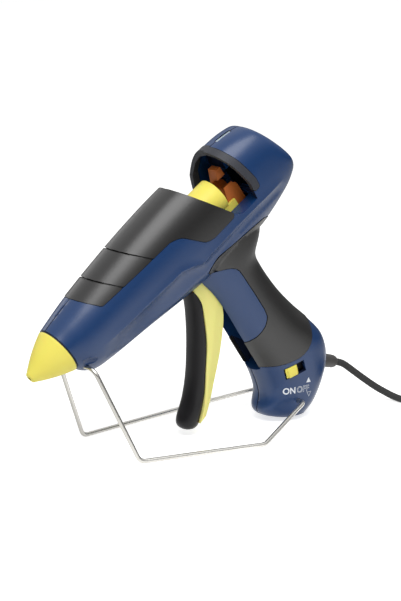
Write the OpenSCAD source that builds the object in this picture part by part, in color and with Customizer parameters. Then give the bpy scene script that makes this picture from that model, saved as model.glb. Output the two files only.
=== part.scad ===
// Hot glue applicator standing nose down on its bent wire stand.
// +Z up, nozzle towards -X, origin under the middle of the object on the table.
// Most pieces are drawn along the barrel: x from the nozzle tip, z up from the glue axis.

/* [Standing pose] */
// Nose-down tilt of the barrel on its stand, degrees
tilt = 36; // [34:0.5:38]
// Height of the handle's base above the table
base_lift = 3.2; // [2.6:0.1:4]

/* [Housing] */
// Radius of the nose where the nozzle cover meets it
nose_r = 16.9; // [16.4:0.1:18]
// Distance from the nozzle tip to the nose face
nose_x = 27; // [26.5:0.1:28]
// Half width of the barrel at its widest
barrel_half_w = 23.4; // [22.5:0.1:25]
// Height of the barrel's top line above the glue axis
barrel_top = 29; // [28:0.1:31]
// Depth of the barrel's belly below the glue axis, over the handle
barrel_belly = 38; // [37:0.1:39.5]
// Distance from the nozzle tip to the end of the tail
tail_x = 234; // [231:0.5:237]
// Wall of the moulded shells
wall = 3; // [2.6:0.1:3.4]
// Thickness of the inner ribs
rib_t = 2.5; // [2:0.1:3.5]

/* [Handle] */
// Half width of the handle
handle_half_w = 17.8; // [17.4:0.1:19]
// Front of the handle's waist, from the nozzle tip
handle_front = 130.5; // [129.5:0.1:131.5]
// Depth of the handle's waist, front to back
handle_depth = 46; // [44.5:0.1:48]
// Depth of the handle's base below the glue axis
base_depth = 171; // [169:0.1:173]

/* [Soft grips] */
// Thickness of the soft grips
grip_t = 1.5; // [1.2:0.1:1.7]
// Height of the soft grips above the shells
grip_proud = 0.35; // [0.1:0.05:0.6]
// Width of the seam line around the soft grips
seam = 0.4; // [0.3:0.01:0.5]
// Width of the two grooves across the barrel grip
groove_w = 1.1; // [0.8:0.1:2]
// Depth of the grooves
groove_depth = 0.9; // [0.5:0.1:1.1]
// Width of the soft lip around the loading bay
lip_w = 5.5; // [4.5:0.1:6.5]

/* [Nozzle and melt chamber] */
// Diameter of the glue outlet
outlet_d = 2; // [1.5:0.1:3]
// Radius of the nozzle cover at its tip
cover_tip_r = 4; // [3.8:0.1:4.6]
// Radius of the melt chamber
chamber_r = 11; // [10.5:0.1:11.5]
// End of the melt chamber, from the nozzle tip
chamber_end = 92; // [90:0.5:93]
// Heater plate length, width and thickness
heater_size = [40, 14, 3]; // [1:0.1:60]

/* [Feed] */
// Diameter of the glue stick
stick_d = 12; // [11:0.1:12.4]
// Play around the glue stick in its guides
stick_play = 0.5; // [0.3:0.05:0.8]
// Outer radius of the sliding feed tube
tube_r = 12.5; // [12:0.1:12.8]
// Rear end of the feed tube, from the nozzle tip
tube_end = 176.5; // [175:0.1:177.5]
// Length of the feed tube
tube_len = 64.5; // [63:0.1:66]

/* [Trigger] */
// Width of the trigger
trigger_w = 16; // [15:0.1:16.6]
// Gap between the trigger's pad and its lever
pad_seam = 0.15; // [0.1:0.01:0.3]
// Trigger pivot, along the barrel and below the glue axis
pivot = [138, -41]; // [-60:0.1:150]
// Radius of the trigger pin
pin_r = 2.5; // [2:0.05:2.8]
// Distance from the pivot to the drive pin
arm_len = 24; // [23.6:0.1:24.2]
// Pull of the trigger, degrees
pull = 22; // [20:0.5:23]
// Radius of the drive pin
drive_pin_r = 2; // [1.6:0.05:2.2]

/* [Switch] */
// Length and width of the switch window
window_size = [17, 8]; // [6:0.1:20]
// Length and width of the switch knob
knob_size = [10, 7]; // [5:0.1:12]
// Travel of the switch knob
switch_travel = 5; // [4:0.1:5.5]

/* [Wire stand] */
// Diameter of the stand's wire
wire_d = 3; // [2.5:0.1:3.4]
// Bend radius on the centre line of the wire
bend_r = 6; // [5:0.1:8]
// Half width of the stand at its rear feet
rear_foot_y = 51; // [46:0.5:54]
// Half width of the stand at its front feet
front_foot_y = 35; // [32:0.5:38]

/* [Mains lead] */
// Diameter of the lead
cord_d = 5; // [4.6:0.1:5.2]
// Length of the strain relief outside the housing
boot_len = 14.5; // [13:0.5:20]
// Downward pitch of the lead where it leaves the housing, degrees
boot_pitch = 14; // [12:0.5:16]
// Inner radius of the coil, at the middle of the lead
coil_in = 19; // [18.5:0.5:22]
// Turns in each of the coil's two layers
coil_turns = 4.05; // [4.05:1:5.05]
// Gap between neighbouring turns
coil_gap = 0.6; // [0.5:0.1:0.9]
// Thickness of the tie around the coil
tie_t = 1; // [0.8:0.1:1.5]

/* [Hidden] */
$fn = 48;
// Running clearance between a pin and its hole, on the radius
run = 0.06;
// Clearance between fixed pieces
fit = 0.15;
// Clearance between pieces that slide past each other
slide = 0.35;
// Back of the handle's waist, from the nozzle tip
handle_back = handle_front + handle_depth;
// Front lower corner of the base, from the handle's front and the base's depth
base_toe = [-11.5, 17];
// Height of the nozzle tip above the table
tip_height = base_lift + (base_depth - base_toe[1]) * cos(tilt) - (handle_front + base_toe[0]) * sin(tilt);
// The strain relief's collar on the back of the base, along the barrel
boot_at = [handle_back - 1, -base_depth + 16.1];
// Distance from the nozzle tip to the strain relief's collar, along the table
boot_from_tip = boot_at[0] * cos(tilt) - boot_at[1] * sin(tilt);
// Height of the strain relief's collar above the table
boot_height = boot_at[0] * sin(tilt) + boot_at[1] * cos(tilt) + tip_height;
// Wall of the strain relief at its thin end
boot_lip = 1.2;
// Middle of the object's standing length, from the nozzle tip
boot_reach = boot_len * cos(boot_pitch) + (cord_d / 2 + boot_lip) * sin(boot_pitch);
mid_x = (boot_from_tip + boot_reach - (cover_tip_r - 0.4) * sin(tilt) + 0.4 * cos(tilt)) / 2;
// Oversize for cuts
big = 300;
eps = 0.01;

// Colours
blue = [0.13, 0.22, 0.42];
black = [0.1, 0.1, 0.11];
yellow = [0.96, 0.9, 0.4];
orange = [0.85, 0.5, 0.18];
steel = [0.8, 0.8, 0.82];
brass = [0.8, 0.65, 0.3];

// Sections of the two freeform bodies:
// [first x, first z, second x, second z, half width, squareness].
// The barrel's sections run from its top line to its bottom line.
barrel_sections = [
    [nose_x, nose_r, nose_x, -nose_r, nose_r, 2],
    [nose_x + 4, nose_r + 0.8, nose_x + 3, -nose_r - 4.5, nose_r + 1.2, 2],
    [nose_x + 14, nose_r + 2.4, nose_x + 10, -nose_r - 9.2, nose_r + 3.2, 2.1],
    [55, barrel_top - 7.6, 52, -barrel_belly + 9.6, barrel_half_w - 1.9, 2.2],
    [82, barrel_top - 4.4, 80, -barrel_belly + 6.8, barrel_half_w - 0.7, 2.3],
    [112, barrel_top - 1.6, 112, -barrel_belly + 3, barrel_half_w - 0.1, 2.4],
    [145, barrel_top + 0.2, 145, -barrel_belly, barrel_half_w, 2.4],
    [184, barrel_top - 0.2, 188, -barrel_belly, barrel_half_w - 0.6, 2.4],
    [tail_x - 32, barrel_top - 1.2, tail_x - 18, -barrel_belly + 6.5, barrel_half_w - 1, 2.5],
    [tail_x - 21, barrel_top - 3, tail_x - 5, -barrel_belly + 12.5, barrel_half_w - 1.8, 2.5],
    [tail_x - 15.5, barrel_top - 5, tail_x - 0.5, -barrel_belly + 17.5, barrel_half_w - 3.6, 2.5],
    [tail_x - 13, barrel_top - 9, tail_x, -barrel_belly + 22.5, barrel_half_w - 6.8, 2.4]
];
// The handle's sections run from its front line to its back line.
handle_sections = [
    [126, -20, 202, -16, handle_half_w + 1.2, 2.3],
    [handle_front - 2.5, -36, handle_back + 14, -36, handle_half_w + 1.2, 2.3],
    [handle_front + 0.3, -48, handle_back + 0.5, -47, handle_half_w + 0.7, 2.3],
    [handle_front + 1, -62, handle_back - 2, -60, handle_half_w + 0.2, 2.3],
    [handle_front, -82, handle_back - 1, -82, handle_half_w, 2.3],
    [handle_front - 1, -base_depth * 0.6, handle_back + 2.5, -base_depth * 0.6 + 1, handle_half_w, 2.3],
    [handle_front - 2, -base_depth + 51, handle_back + 7, -base_depth + 52, handle_half_w, 2.4],
    [handle_front - 6.5, -base_depth + 35, handle_back + 9.5, -base_depth + 36, handle_half_w - 0.1, 2.5],
    [handle_front - 14.5, -base_depth + 26.5, handle_back + 4.5, -base_depth + 21.5,
        handle_half_w - 0.3, 2.6],
    [handle_front - 15.2, -base_depth + 22.5, handle_back - 6.5, -base_depth + 11.5,
        handle_half_w - 0.5, 2.6],
    [handle_front - 13.7, -base_depth + 19.5, handle_back - 21.5, -base_depth + 3.5,
        handle_half_w - 1, 2.5],
    [handle_front + base_toe[0], -base_depth + base_toe[1], handle_back - 33.5, -base_depth,
        handle_half_w - 3.5, 2.4]
];
// Sections between two control sections, and points around half a section
section_steps = 2;
ring_steps = 10;
inner_steps = 9;

// A smooth curve through control values
function curve_at(a, b, c, d, t) =
    0.5 * (2 * b + (c - a) * t + (2 * a - 5 * b + 4 * c - d) * t * t
        + (3 * b - a - 3 * c + d) * t * t * t);
function curve(p, steps) = let (last = len(p) - 1) [
    for (i = [0 : last - 1])
        for (j = [0 : steps - 1])
            curve_at(p[max(i - 1, 0)], p[i], p[i + 1], p[min(i + 2, last)], j / steps),
    p[last]
];
function reversed(p) = [for (i = [len(p) - 1 : -1 : 0]) p[i]];

// A section grown by d, or shrunk where d is negative
function grown(s, d) = let (
    a = [s[0], s[1]],
    b = [s[2], s[3]],
    along = (a - b) / norm(a - b) * d
) [s[0] + along[0], s[1] + along[1], s[2] - along[0], s[3] - along[1], s[4] + d, s[5]];

function power(v, p) = sign(v) * pow(abs(v), 2 / p);
function ring(s, steps) = [
    for (i = [0 : 2 * steps - 1])
        let (
            angle = 180 * i / steps,
            along = power(cos(angle), s[5]) / 2
        )
        [
            (s[0] + s[2]) / 2 + along * (s[0] - s[2]),
            s[4] * power(sin(angle), s[5]),
            (s[1] + s[3]) / 2 + along * (s[1] - s[3])
        ]
];

// A closed skin over rings that have the same number of points
module skin(rings) {
    m = len(rings[0]);
    n = len(rings);
    walls = [
        for (i = [0 : n - 2])
            for (j = [0 : m - 1])
                let (k = (j + 1) % m)
                each [
                    [i * m + j, i * m + k, (i + 1) * m + k],
                    [i * m + j, (i + 1) * m + k, (i + 1) * m + j]
                ]
    ];
    first = [for (j = [m - 1 : -1 : 0]) j];
    last = [for (j = [0 : m - 1]) (n - 1) * m + j];
    polyhedron([for (r = rings) each r], concat([first], walls, [last]), convexity = 6);
}

module barrel_body(d = 0, steps = section_steps) {
    skin([for (s = curve(barrel_sections, steps)) ring(grown(s, d), ring_steps - 2 + steps)]);
}

module handle_body(d = 0, steps = section_steps) {
    sections = reversed(curve(handle_sections, steps));
    skin([for (s = sections) ring(grown(s, d), ring_steps - 2 + steps)]);
}

module body(d = 0, steps = section_steps) {
    barrel_body(d, steps);
    handle_body(d, steps);
}

// The hollow of the shells: the same bodies, thinner by the wall and short of both ends
module hollow() {
    barrel_control = [for (i = [0 : len(barrel_sections) - 3]) barrel_sections[i]];
    handle_control = [for (i = [0 : len(handle_sections) - 3]) handle_sections[i]];
    tail_wall = [wall, 0, wall, 0, 0, 0];
    skin([
        for (s = barrel_control)
            ring(grown(s[0] > tail_x - 30 ? s - tail_wall : s, -wall), inner_steps)
    ]);
    skin([for (s = reversed(handle_control)) ring(grown(s, -wall), inner_steps)]);
}

// Freeform shapes joined into one mesh
module one_mesh() {
    resize([0, 0, 0]) children();
}

// Lays a flat outline, drawn as x and z, across the width from y0 to y1
module across(y0, y1) {
    translate([0, y1, 0]) rotate([90, 0, 0]) linear_extrude(y1 - y0) children();
}

// A cylinder across the width
module cross_pin(at, r, y0, y1, sides = $fn) {
    translate([at[0], y0, at[1]]) rotate([-90, 0, 0]) cylinder(r = r, h = y1 - y0, $fn = sides);
}

// A cylinder along the barrel
module along_barrel(x0, x1, r) {
    translate([x0, 0, 0]) rotate([0, 90, 0]) cylinder(r = r, h = x1 - x0);
}

// Faceted holes that clear a round of radius r
cross_sides = 12;
along_sides = 24;
module cross_bore(at, r, y0, y1) {
    cross_pin(at, r / cos(180 / cross_sides), y0, y1, cross_sides);
}

module along_bore(x0, x1, r) {
    translate([x0, 0, 0]) rotate([0, 90, 0])
        cylinder(r = r / cos(180 / along_sides), h = x1 - x0, $fn = along_sides);
}

// Turns an outline of [x, r] points about the glue axis
module turned(points) {
    rotate([0, 90, 0]) rotate_extrude() polygon([for (p = points) [p[1], p[0]]]);
}

module half(side) {
    translate([-big / 2, side > 0 ? 0 : -big, -big]) cube([2 * big, big, 2 * big]);
}

// Puts what is drawn along the barrel into its standing pose
module gun() {
    translate([-mid_x, 0, tip_height]) rotate([0, -tilt, 0]) children();
}

// Draws what is placed by its standing pose along the barrel
module level() {
    rotate([0, tilt, 0]) translate([mid_x, 0, -tip_height]) children();
}

// A point drawn along the barrel, as it stands
function stood(p) = [
    p[0] * cos(tilt) - p[2] * sin(tilt) - mid_x,
    p[1],
    p[0] * sin(tilt) + p[2] * cos(tilt) + tip_height
];

// Rounds the outer corners of an outline
module rounded(r) {
    offset(r, $fn = 16) offset(delta = -r) children();
}

// Outlines on the flank of the housing
grip_low = 11;
grip_rear_low = [172, -9];
grip_front_low = [61, grip_low];
grip_front_lean = -0.82;
grip_rear_lean = -0.59;
groove_low_x = [79, 106];
over_top = 50;

function leaning(at, lean, z) = [at[0] + lean * (z - at[1]), z];

module barrel_grip_outline() {
    step = curve([[122, grip_low], [130, 8], [137, 0], [143, -7], [150, -9.3]], 3);
    rounded(2.5) polygon(concat(
        [leaning(grip_front_low, grip_front_lean, over_top), grip_front_low],
        step,
        [grip_rear_low, leaning(grip_rear_low, grip_rear_lean, over_top)]
    ));
}

module groove_outlines() {
    for (x = groove_low_x) {
        low = leaning([x, grip_low], grip_front_lean, -10);
        high = leaning([x, grip_low], grip_front_lean, over_top);
        half_w = groove_w / 2 * sqrt(1 + pow(grip_front_lean, 2));
        polygon([low - [half_w, 0], low + [half_w, 0], high + [half_w, 0], high - [half_w, 0]]);
    }
}

// Lowest point of the handle grip
grip_low_end = -base_depth + 41.5;
module handle_grip_outline() {
    f = handle_front;
    upper = [[f + 4, -28.5], [f + 9.5, -25.2], [f + 15.5, -23.9], [f + 25.5, -24.8], [f + 36.5, -26.2],
        [f + 59.5, -29.3], [f + 67.5, -36.5]];
    low = grip_low_end;
    panel = [[f + 5.5, -31], [f + 15.5, -35.5], [f + 22, -41], [f + 23.5, -50], [f + 23.5, low + 49.5],
        [f + 20.5, low + 41.5], [f + 13.5, low + 37.5], [f + 3.5, low + 36], [f - 10.5, low + 38.5]];
    lower = [[f - 10.5, low + 21.5], [f - 2.5, low + 16], [f + 9.5, low + 8], [f + 19.5, low + 3],
        [f + 29.5, low], [f + 39.5, low + 1.5], [f + 46.5, low + 7], [f + 52.5, low + 15.5]];
    polygon(concat(
        reversed(curve(upper, 2)),
        curve(panel, 2),
        curve(lower, 2),
        [[f + 99.5, low + 29.5], [f + 99.5, -60]]
    ));
}

// The loading bay between the barrel grip and the head, wider on the left flank
bay_floor = -12;
bay_front = leaning(grip_rear_low, grip_rear_lean, over_top);
left_rim = [[191, bay_floor], [192.2, 0], [189.5, 17], [187, 26], [181, over_top]];
right_rim = [[172.5, -8], [175.6, 1], [178.6, 11.8], [183, 19], [187, 26], [192, over_top]];

module bay_outline(side) {
    floor_line = [grip_rear_low, [176, bay_floor]];
    polygon(side < 0
        ? concat([bay_front], floor_line, left_rim)
        : concat([bay_front], [grip_rear_low], right_rim));
}

module lip_outline(side) {
    rim = side < 0 ? [for (i = [1 : 4]) left_rim[i]] : right_rim;
    low = side < 0 ? [left_rim[1] - [0.6, 6.5]] : [];
    front = concat(low, rim);
    rounded(1.6) polygon(concat(front, reversed([for (p = front) p + [lip_w, 0]])));
}

// Where the pieces stand along the barrel
swing = pull / 2;
drive_at = pivot + arm_len * [sin(swing), cos(swing)];
feed_stroke = 2 * arm_len * sin(swing);
trigger_gap = trigger_w / 2 + 0.6;
stick_r = stick_d / 2 + stick_play;
nozzle_seat = nose_x + 1;
spigot_r = 8;
spigot_len = 8;
sleeve_r = spigot_r + 1.4;
tube_front = tube_end - tube_len;
bulkhead_x = 194;
bulkhead_t = 2.5;
bush_r = stick_r + 3;
bush_front = tail_x - 15;
channel_back = pivot[0] + 9;
channel_low = -base_depth + 53;
channel_wall = 2;
boss_r = 4;
screw_r = 1.4;
screw_head_r = 2.9;
screw_at = [
    [45, -21.2], [104, -27], [208, -21], [160, -52], [160, -base_depth + 58],
    [handle_front + 0.5, -base_depth + 23]
];
pin_boss_r = 5.5;
pin_reach = handle_half_w - wall - 4;

// Ribs that carry the melt chamber and the feed tube
module ribs() {
    intersection() {
        barrel_body(-wall / 2, 1);
        difference() {
            union() {
                for (x = [nose_x + 9, chamber_end - 4])
                    translate([x, -big / 2, -24]) cube([rib_t, big, 44]);
                for (x = [tube_front + 6.5, tube_end - 16])
                    translate([x, -big / 2, -24]) cube([rib_t, big, 44]);
                translate([bulkhead_x, -big / 2, -24]) cube([bulkhead_t, big, big]);
                translate([152, -big / 2, bay_floor - 2]) cube([bulkhead_x - 151, big, 2]);
            }
            translate([150, -gripper_half_w - slide, -big / 2])
                cube([bulkhead_x - 150.5, 2 * (gripper_half_w + slide), big]);
            // Way of the heater's leads
            translate([chamber_end - 7, 8.5, -25]) cube([70, 8.5, 9]);
            translate([chamber_end - 7, 0, -25]) cube([10, 17, 15]);
        }
    }
}

// Half width of the gripper
gripper_half_w = tube_r - 2.5;

// The channel that the trigger is pulled into
module trigger_channel() {
    intersection() {
        handle_body(-wall / 2, 1);
        union() {
            translate([handle_front - 8, -trigger_gap - channel_wall, channel_low - channel_wall])
                cube([channel_back + channel_wall - handle_front + 8,
                    2 * (trigger_gap + channel_wall), -channel_low - 54 + channel_wall]);
            translate([channel_back, -trigger_gap - channel_wall, -54])
                cube([channel_wall, 2 * (trigger_gap + channel_wall), 24]);
        }
    }
}

module trigger_opening() {
    translate([118.5, -trigger_gap, channel_low])
        cube([channel_back - 118.5, 2 * trigger_gap, -channel_low - 27]);
}

module bosses(side) {
    intersection() {
        body(-wall / 2, 1);
        union() {
            for (p = screw_at)
                cross_pin(p, boss_r, side > 0 ? fit : -big / 4, side > 0 ? big / 4 : -fit, 8);
            cross_pin(pivot, pin_boss_r, side > 0 ? trigger_gap : -big / 4,
                side > 0 ? big / 4 : -trigger_gap, 8);
        }
    }
}

// Posts that hold the circuit board, a shelf under the cord clamp and cheeks for the switch
module seats(side) {
    intersection() {
        handle_body(-wall / 2, 1);
        union() {
            for (p = [[0, 0], [board_size[0] - post_w, board_size[2] - post_w]])
                translate([board_at[0] + p[0], side > 0 ? board_at[1] + board_size[1] + fit : -big / 4,
                    board_at[2] + p[1]])
                    cube([post_w, side > 0 ? big / 4 : big / 4 + board_at[1] - fit, post_w]);
            level() lead_frame() clamp_shelf_block();
            if (side < 0)
                switch_place() for (end = [-1, 1])
                    translate([end * (switch_body_size[0] / 2 + fit + 1) - 1, -switch_body_size[1] / 2,
                        -switch_body_size[2] - switch_depth])
                        cube([2, switch_body_size[1], switch_body_size[2] + switch_depth - 1]);
        }
    }
}

// The recesses that the soft grips lie in
module grip_recesses() {
    difference() {
        across(-big / 4, big / 4) offset(delta = seam) {
            barrel_grip_outline();
            handle_grip_outline();
        }
        body(-grip_t - fit, 1);
    }
}

// One freeform half shell
module half_shell(side) {
    one_mesh() intersection() {
        half(side);
        difference() {
            union() {
                difference() {
                    body();
                    hollow();
                }
                ribs();
                trigger_channel();
                bosses(side);
                seats(side);
            }
            grip_recesses();
            across(-big / 4, big / 4) bay_outline(side);
            across(-big / 4, big / 4) offset(delta = seam) intersection() {
                lip_outline(side);
                translate([0, -20]) square(big);
            }
            trigger_opening();
            nose_scoop(side);
            drillings();
            if (side < 0) switch_place() cube([window_size[0], window_size[1], 40], center = true);
        }
    }
}

// The finger of relief around the stand's hole in the nose
scoop_at = [nose_x + 5, -nose_r - 1.5];
module nose_scoop(side) {
    translate([scoop_at[0], side * (nose_r + 3.5), scoop_at[1] + 6])
        rotate([0, 30, 0]) scale([9, 5, 5]) sphere(1, $fn = 14);
}

// Where the stand's wire enters the housing
nose_hole = [nose_x + 3.5, -nose_r + 1.5];
base_hole = [handle_front + 7.5, -base_depth + 18];
nose_hole_in = 6;
base_hole_in = 8;

// Holes through the shells
module drillings() {
    // Nose bore around the melt chamber
    along_bore(nose_x - 1, chamber_end + 8, chamber_r + fit);
    // Guides of the feed tube
    along_bore(tube_front - 12, tube_end + 2, tube_r + run);
    // Glue stick passage through the bulkhead and the tail
    along_bore(bulkhead_x - 1, bulkhead_x + bulkhead_t + 1, stick_r + 1);
    along_bore(bush_front, tail_x + 20, bush_r + fit);
    // Stand holes
    cross_bore(nose_hole, wire_d / 2 + run, -big / 4, big / 4);
    cross_bore(base_hole, wire_d / 2 + run, -big / 4, big / 4);
    // Trigger pin
    cross_bore(pivot, pin_r + run, -pin_reach - fit, pin_reach + fit);
    // Screws
    for (p = screw_at) {
        cross_bore(p, screw_r + run, -9, screw_head_y + eps);
        cross_bore(p, screw_head_r + fit, screw_head_y, big / 4);
    }
    // Cord entry
    level() lead_frame() rotate([0, 90, 0])
        cylinder(r = (boot_neck_r + fit) / cos(15), h = 12, center = true, $fn = 12);
    // Window of the indicator
    lens_place() lens_block(fit);
}

screw_head_y = 9;

module left_housing() {
    color(blue) gun() half_shell(-1);
}

module right_housing() {
    color(blue) gun() half_shell(1);
}

// A soft grip: the skin of the housing inside an outline
module grip(side) {
    one_mesh() intersection() {
        half(side);
        difference() {
            intersection() {
                across(-big / 4, big / 4) children();
                body(grip_proud);
            }
            body(-grip_t, 1);
        }
    }
}

module barrel_grip(side) {
    color(black) gun() one_mesh() difference() {
        grip(side) barrel_grip_outline();
        difference() {
            across(-big / 4, big / 4) groove_outlines();
            body(grip_proud - groove_depth);
        }
    }
}

module handle_grip(side) {
    color(black) gun() one_mesh() difference() {
        grip(side) difference() {
            handle_grip_outline();
            barrel_trim();
        }
        grip_drillings();
        trigger_opening();
    }
}

// Keeps the handle grip behind the seam of the bay's floor
module barrel_trim() {
    translate([120, -20]) square([big, big]);
}

module grip_drillings() {
    for (p = screw_at)
        cross_bore(p, screw_head_r + fit, screw_head_y, big / 4);
}

module bay_lip(side) {
    color(black) gun() one_mesh() intersection() {
        half(side);
        difference() {
            across(-big / 4, big / 4) lip_outline(side);
            hollow();
            lens_place() lens_block(fit);
        }
        barrel_body(grip_proud);
    }
}

module barrel_grip_left() barrel_grip(-1);
module barrel_grip_right() barrel_grip(1);
module handle_grip_left() handle_grip(-1);
module handle_grip_right() handle_grip(1);
module bay_lip_left() bay_lip(-1);
module bay_lip_right() bay_lip(1);

// The indicator's light bar on top of the head
lens_size = [13, 3.2, 5];
module lens_place() {
    translate([tail_x - 36, 0, barrel_top - 1.6]) rotate([0, 8, 0]) children();
}

module lens_block(gap) {
    translate([-gap, -lens_size[1] / 2 - gap, -lens_size[2] - gap])
        cube([lens_size[0] + 2 * gap, lens_size[1] + 2 * gap, lens_size[2] + 2 * gap + 4]);
}

module indicator_lens() {
    color([0.9, 0.92, 0.95]) gun() lens_place()
        translate([0, -lens_size[1] / 2, -lens_size[2]]) cube(lens_size);
}

module indicator_lamp() {
    color([0.9, 0.3, 0.2]) gun() lens_place()
        translate([lens_size[0] / 2, 0, -lens_size[2] - 5.2]) cylinder(r = 1.5, h = 5);
}

// Guide for the glue stick at the back of the tail
module stick_bush() {
    color(black) gun() difference() {
        union() {
            along_barrel(bush_front, tail_x - 9, bush_r);
        }
        along_barrel(bush_front - 1, tail_x + 10, stick_r);
    }
}

// Nozzle, from the outlet to its thread in the melt chamber
nozzle_thread_r = 5;
nozzle_thread_len = 10;
nozzle_hex_r = 8;
module nozzle() {
    color(brass) gun() turned([
        [0.4, outlet_d / 2], [0.4, cover_tip_r - 1.5], [18, nozzle_hex_r - 1], [20, nozzle_hex_r],
        [nozzle_seat, nozzle_hex_r], [nozzle_seat, nozzle_thread_r],
        [nozzle_seat + nozzle_thread_len, nozzle_thread_r],
        [nozzle_seat + nozzle_thread_len, outlet_d],
        [8, outlet_d / 2]
    ]);
}

// Heat-proof cover over the nozzle
seal_t = 1;
cover_flange = 2.2;
module nozzle_cover() {
    back = nose_x - seal_t;
    color(yellow) gun() turned([
        [0, outlet_d / 2 + 0.2], [0, cover_tip_r - 1.2], [0.4, cover_tip_r - 0.4], [1.2, cover_tip_r],
        [back * 0.5, (cover_tip_r + nose_r) / 2 + 0.5], [back - cover_flange, nose_r - 1],
        [back - 1, nose_r - 0.5], [back, nose_r - 0.5],
        [back, nozzle_hex_r + fit], [20, nozzle_hex_r + fit], [18, nozzle_hex_r - 1 + fit],
        [0.4, cover_tip_r - 1.5 + fit], [0.4, outlet_d / 2 + 0.2]
    ]);
}

module nose_seal() {
    color(black) gun() difference() {
        along_barrel(nose_x - seal_t, nose_x, nose_r - 0.9);
        along_barrel(nose_x - seal_t - 1, nose_x + 1, chamber_r + 1);
    }
}

// Melt chamber with its heater pocket underneath
heater_x = nose_x + 18;
heater_z = -chamber_r - 1.5;
module melt_chamber() {
    block = [heater_size[0] + 4, heater_size[1] + 4, heater_size[2] + 5];
    color([0.75, 0.76, 0.78]) gun() difference() {
        union() {
            along_barrel(nozzle_seat, chamber_end, chamber_r);
            along_barrel(nozzle_seat, chamber_end + spigot_len, spigot_r);
            translate([heater_x - 2, -block[1] / 2, heater_z - block[2] + 5]) cube(block);
        }
        along_barrel(nozzle_seat - 1, chamber_end, nozzle_thread_r);
        along_barrel(nozzle_seat + nozzle_thread_len + 4, chamber_end + spigot_len + 1, stick_d / 2);
        translate([heater_x - fit, -heater_size[1] / 2 - fit, heater_z - heater_size[2] + 2 - fit])
            cube([heater_size[0] + 5, heater_size[1] + 2 * fit, heater_size[2] + 2 * fit]);
    }
}

module heater() {
    color([0.85, 0.83, 0.78]) gun()
        translate([heater_x, -heater_size[1] / 2, heater_z - heater_size[2] + 2]) cube(heater_size);
}

// Soft sleeve that leads the glue stick into the melt chamber
sleeve_len = 20;
module inlet_sleeve() {
    color([0.75, 0.25, 0.2]) gun() turned([
        [chamber_end + fit, spigot_r + eps], [chamber_end + fit, sleeve_r],
        [chamber_end + sleeve_len, sleeve_r], [chamber_end + sleeve_len, stick_r],
        [chamber_end + spigot_len + fit, stick_r - 0.2], [chamber_end + spigot_len + fit, spigot_r + eps]
    ]);
}

// Sliding feed tube with the lug that the trigger drives
lug_half_w = 5;
lug_half_l = 5.5;
sleeve_depth = feed_stroke + 6;
ear_t = 2;
ear_y = gripper_half_w - ear_t;
gripper_at = [tube_end + 6.5, -17.5];
gripper_pin_r = 1.5;
module feed_tube() {
    color(yellow) gun() difference() {
        union() {
            along_barrel(tube_front, tube_end, tube_r);
            translate([drive_at[0] - lug_half_l, -lug_half_w, drive_at[1] - 5])
                cube([2 * lug_half_l, 2 * lug_half_w, 5 - drive_at[1] - tube_r + 3]);
            for (side = [-1, 1]) {
                translate([tube_end - 8, side > 0 ? ear_y : -gripper_half_w, gripper_at[1] - 3])
                    cube([8 + gripper_at[0] - tube_end, ear_t, -gripper_at[1] - 4]);
                cross_pin(gripper_at, 3, side > 0 ? ear_y : -gripper_half_w,
                    side > 0 ? gripper_half_w : -ear_y);
            }
        }
        along_barrel(tube_front - 1, tube_end + 20, stick_r);
        along_barrel(tube_front - 1, tube_front + sleeve_depth, sleeve_r + slide);
        // Upright slot for the drive pin
        across(-big / 4, big / 4) {
            translate([drive_at[0] - drive_pin_r - run, drive_at[1] - 0.6])
                square([2 * (drive_pin_r + run), 1.8]);
            for (z = [-0.6, 1.2])
                translate([drive_at[0], drive_at[1] + z]) circle(drive_pin_r + run);
        }
        cross_pin(gripper_at, gripper_pin_r + run, -big / 4, big / 4);
    }
}

module drive_pin() {
    color(steel) gun() cross_pin(drive_at, drive_pin_r, -trigger_w / 2 + 0.3, trigger_w / 2 - 0.3);
}

// Gripper that bites on the glue stick
gripper_tilt = 6;
gripper_inner = ear_y - slide;
module stick_gripper() {
    outline = [[tube_end + 1.6, -21], [tube_end + 1.6, -9], [tube_end + 4, 0], [tube_end + 9.5, 13],
        [tube_end + 13.5, 13], [tube_end + 13.5, 3], [tube_end + 15, -2], [tube_end + 15, -21]];
    color(orange) gun() difference() {
        across(-gripper_inner, gripper_inner) polygon(outline);
        along_barrel(tube_end - 10, tube_end + 30, stick_r + 0.3);
        cross_pin(gripper_at, gripper_pin_r + run, -big / 4, big / 4);
        // The near cheek is lower than the far one
        translate([tube_end - 10, -big, 2.5]) cube([40, big - 1.5, big]);
        // Steps of the bite
        for (i = [0 : 2])
            translate([tube_end + 12 + i * 0.8, -big / 4, 2 + 4 * i]) rotate([0, 40, 0])
                cube([4, big / 2, 2]);
    }
}

module gripper_pin() {
    color(steel) gun() cross_pin(gripper_at, gripper_pin_r, -gripper_half_w, gripper_half_w);
}

// Outlines of the trigger, from its root in the housing to its tip
pad_back = [[73, -113.5], [80, -108.5], [88.5, -99.5], [98.5, -87], [110, -72.5], [119, -56], [122.8, -46],
    [122.6, -38]];
trigger_back = [[79.5, -112.5], [88, -106.5], [98, -98], [113, -85.5], [127.5, -70.5], [133, -62],
    [137, -53]];

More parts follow.
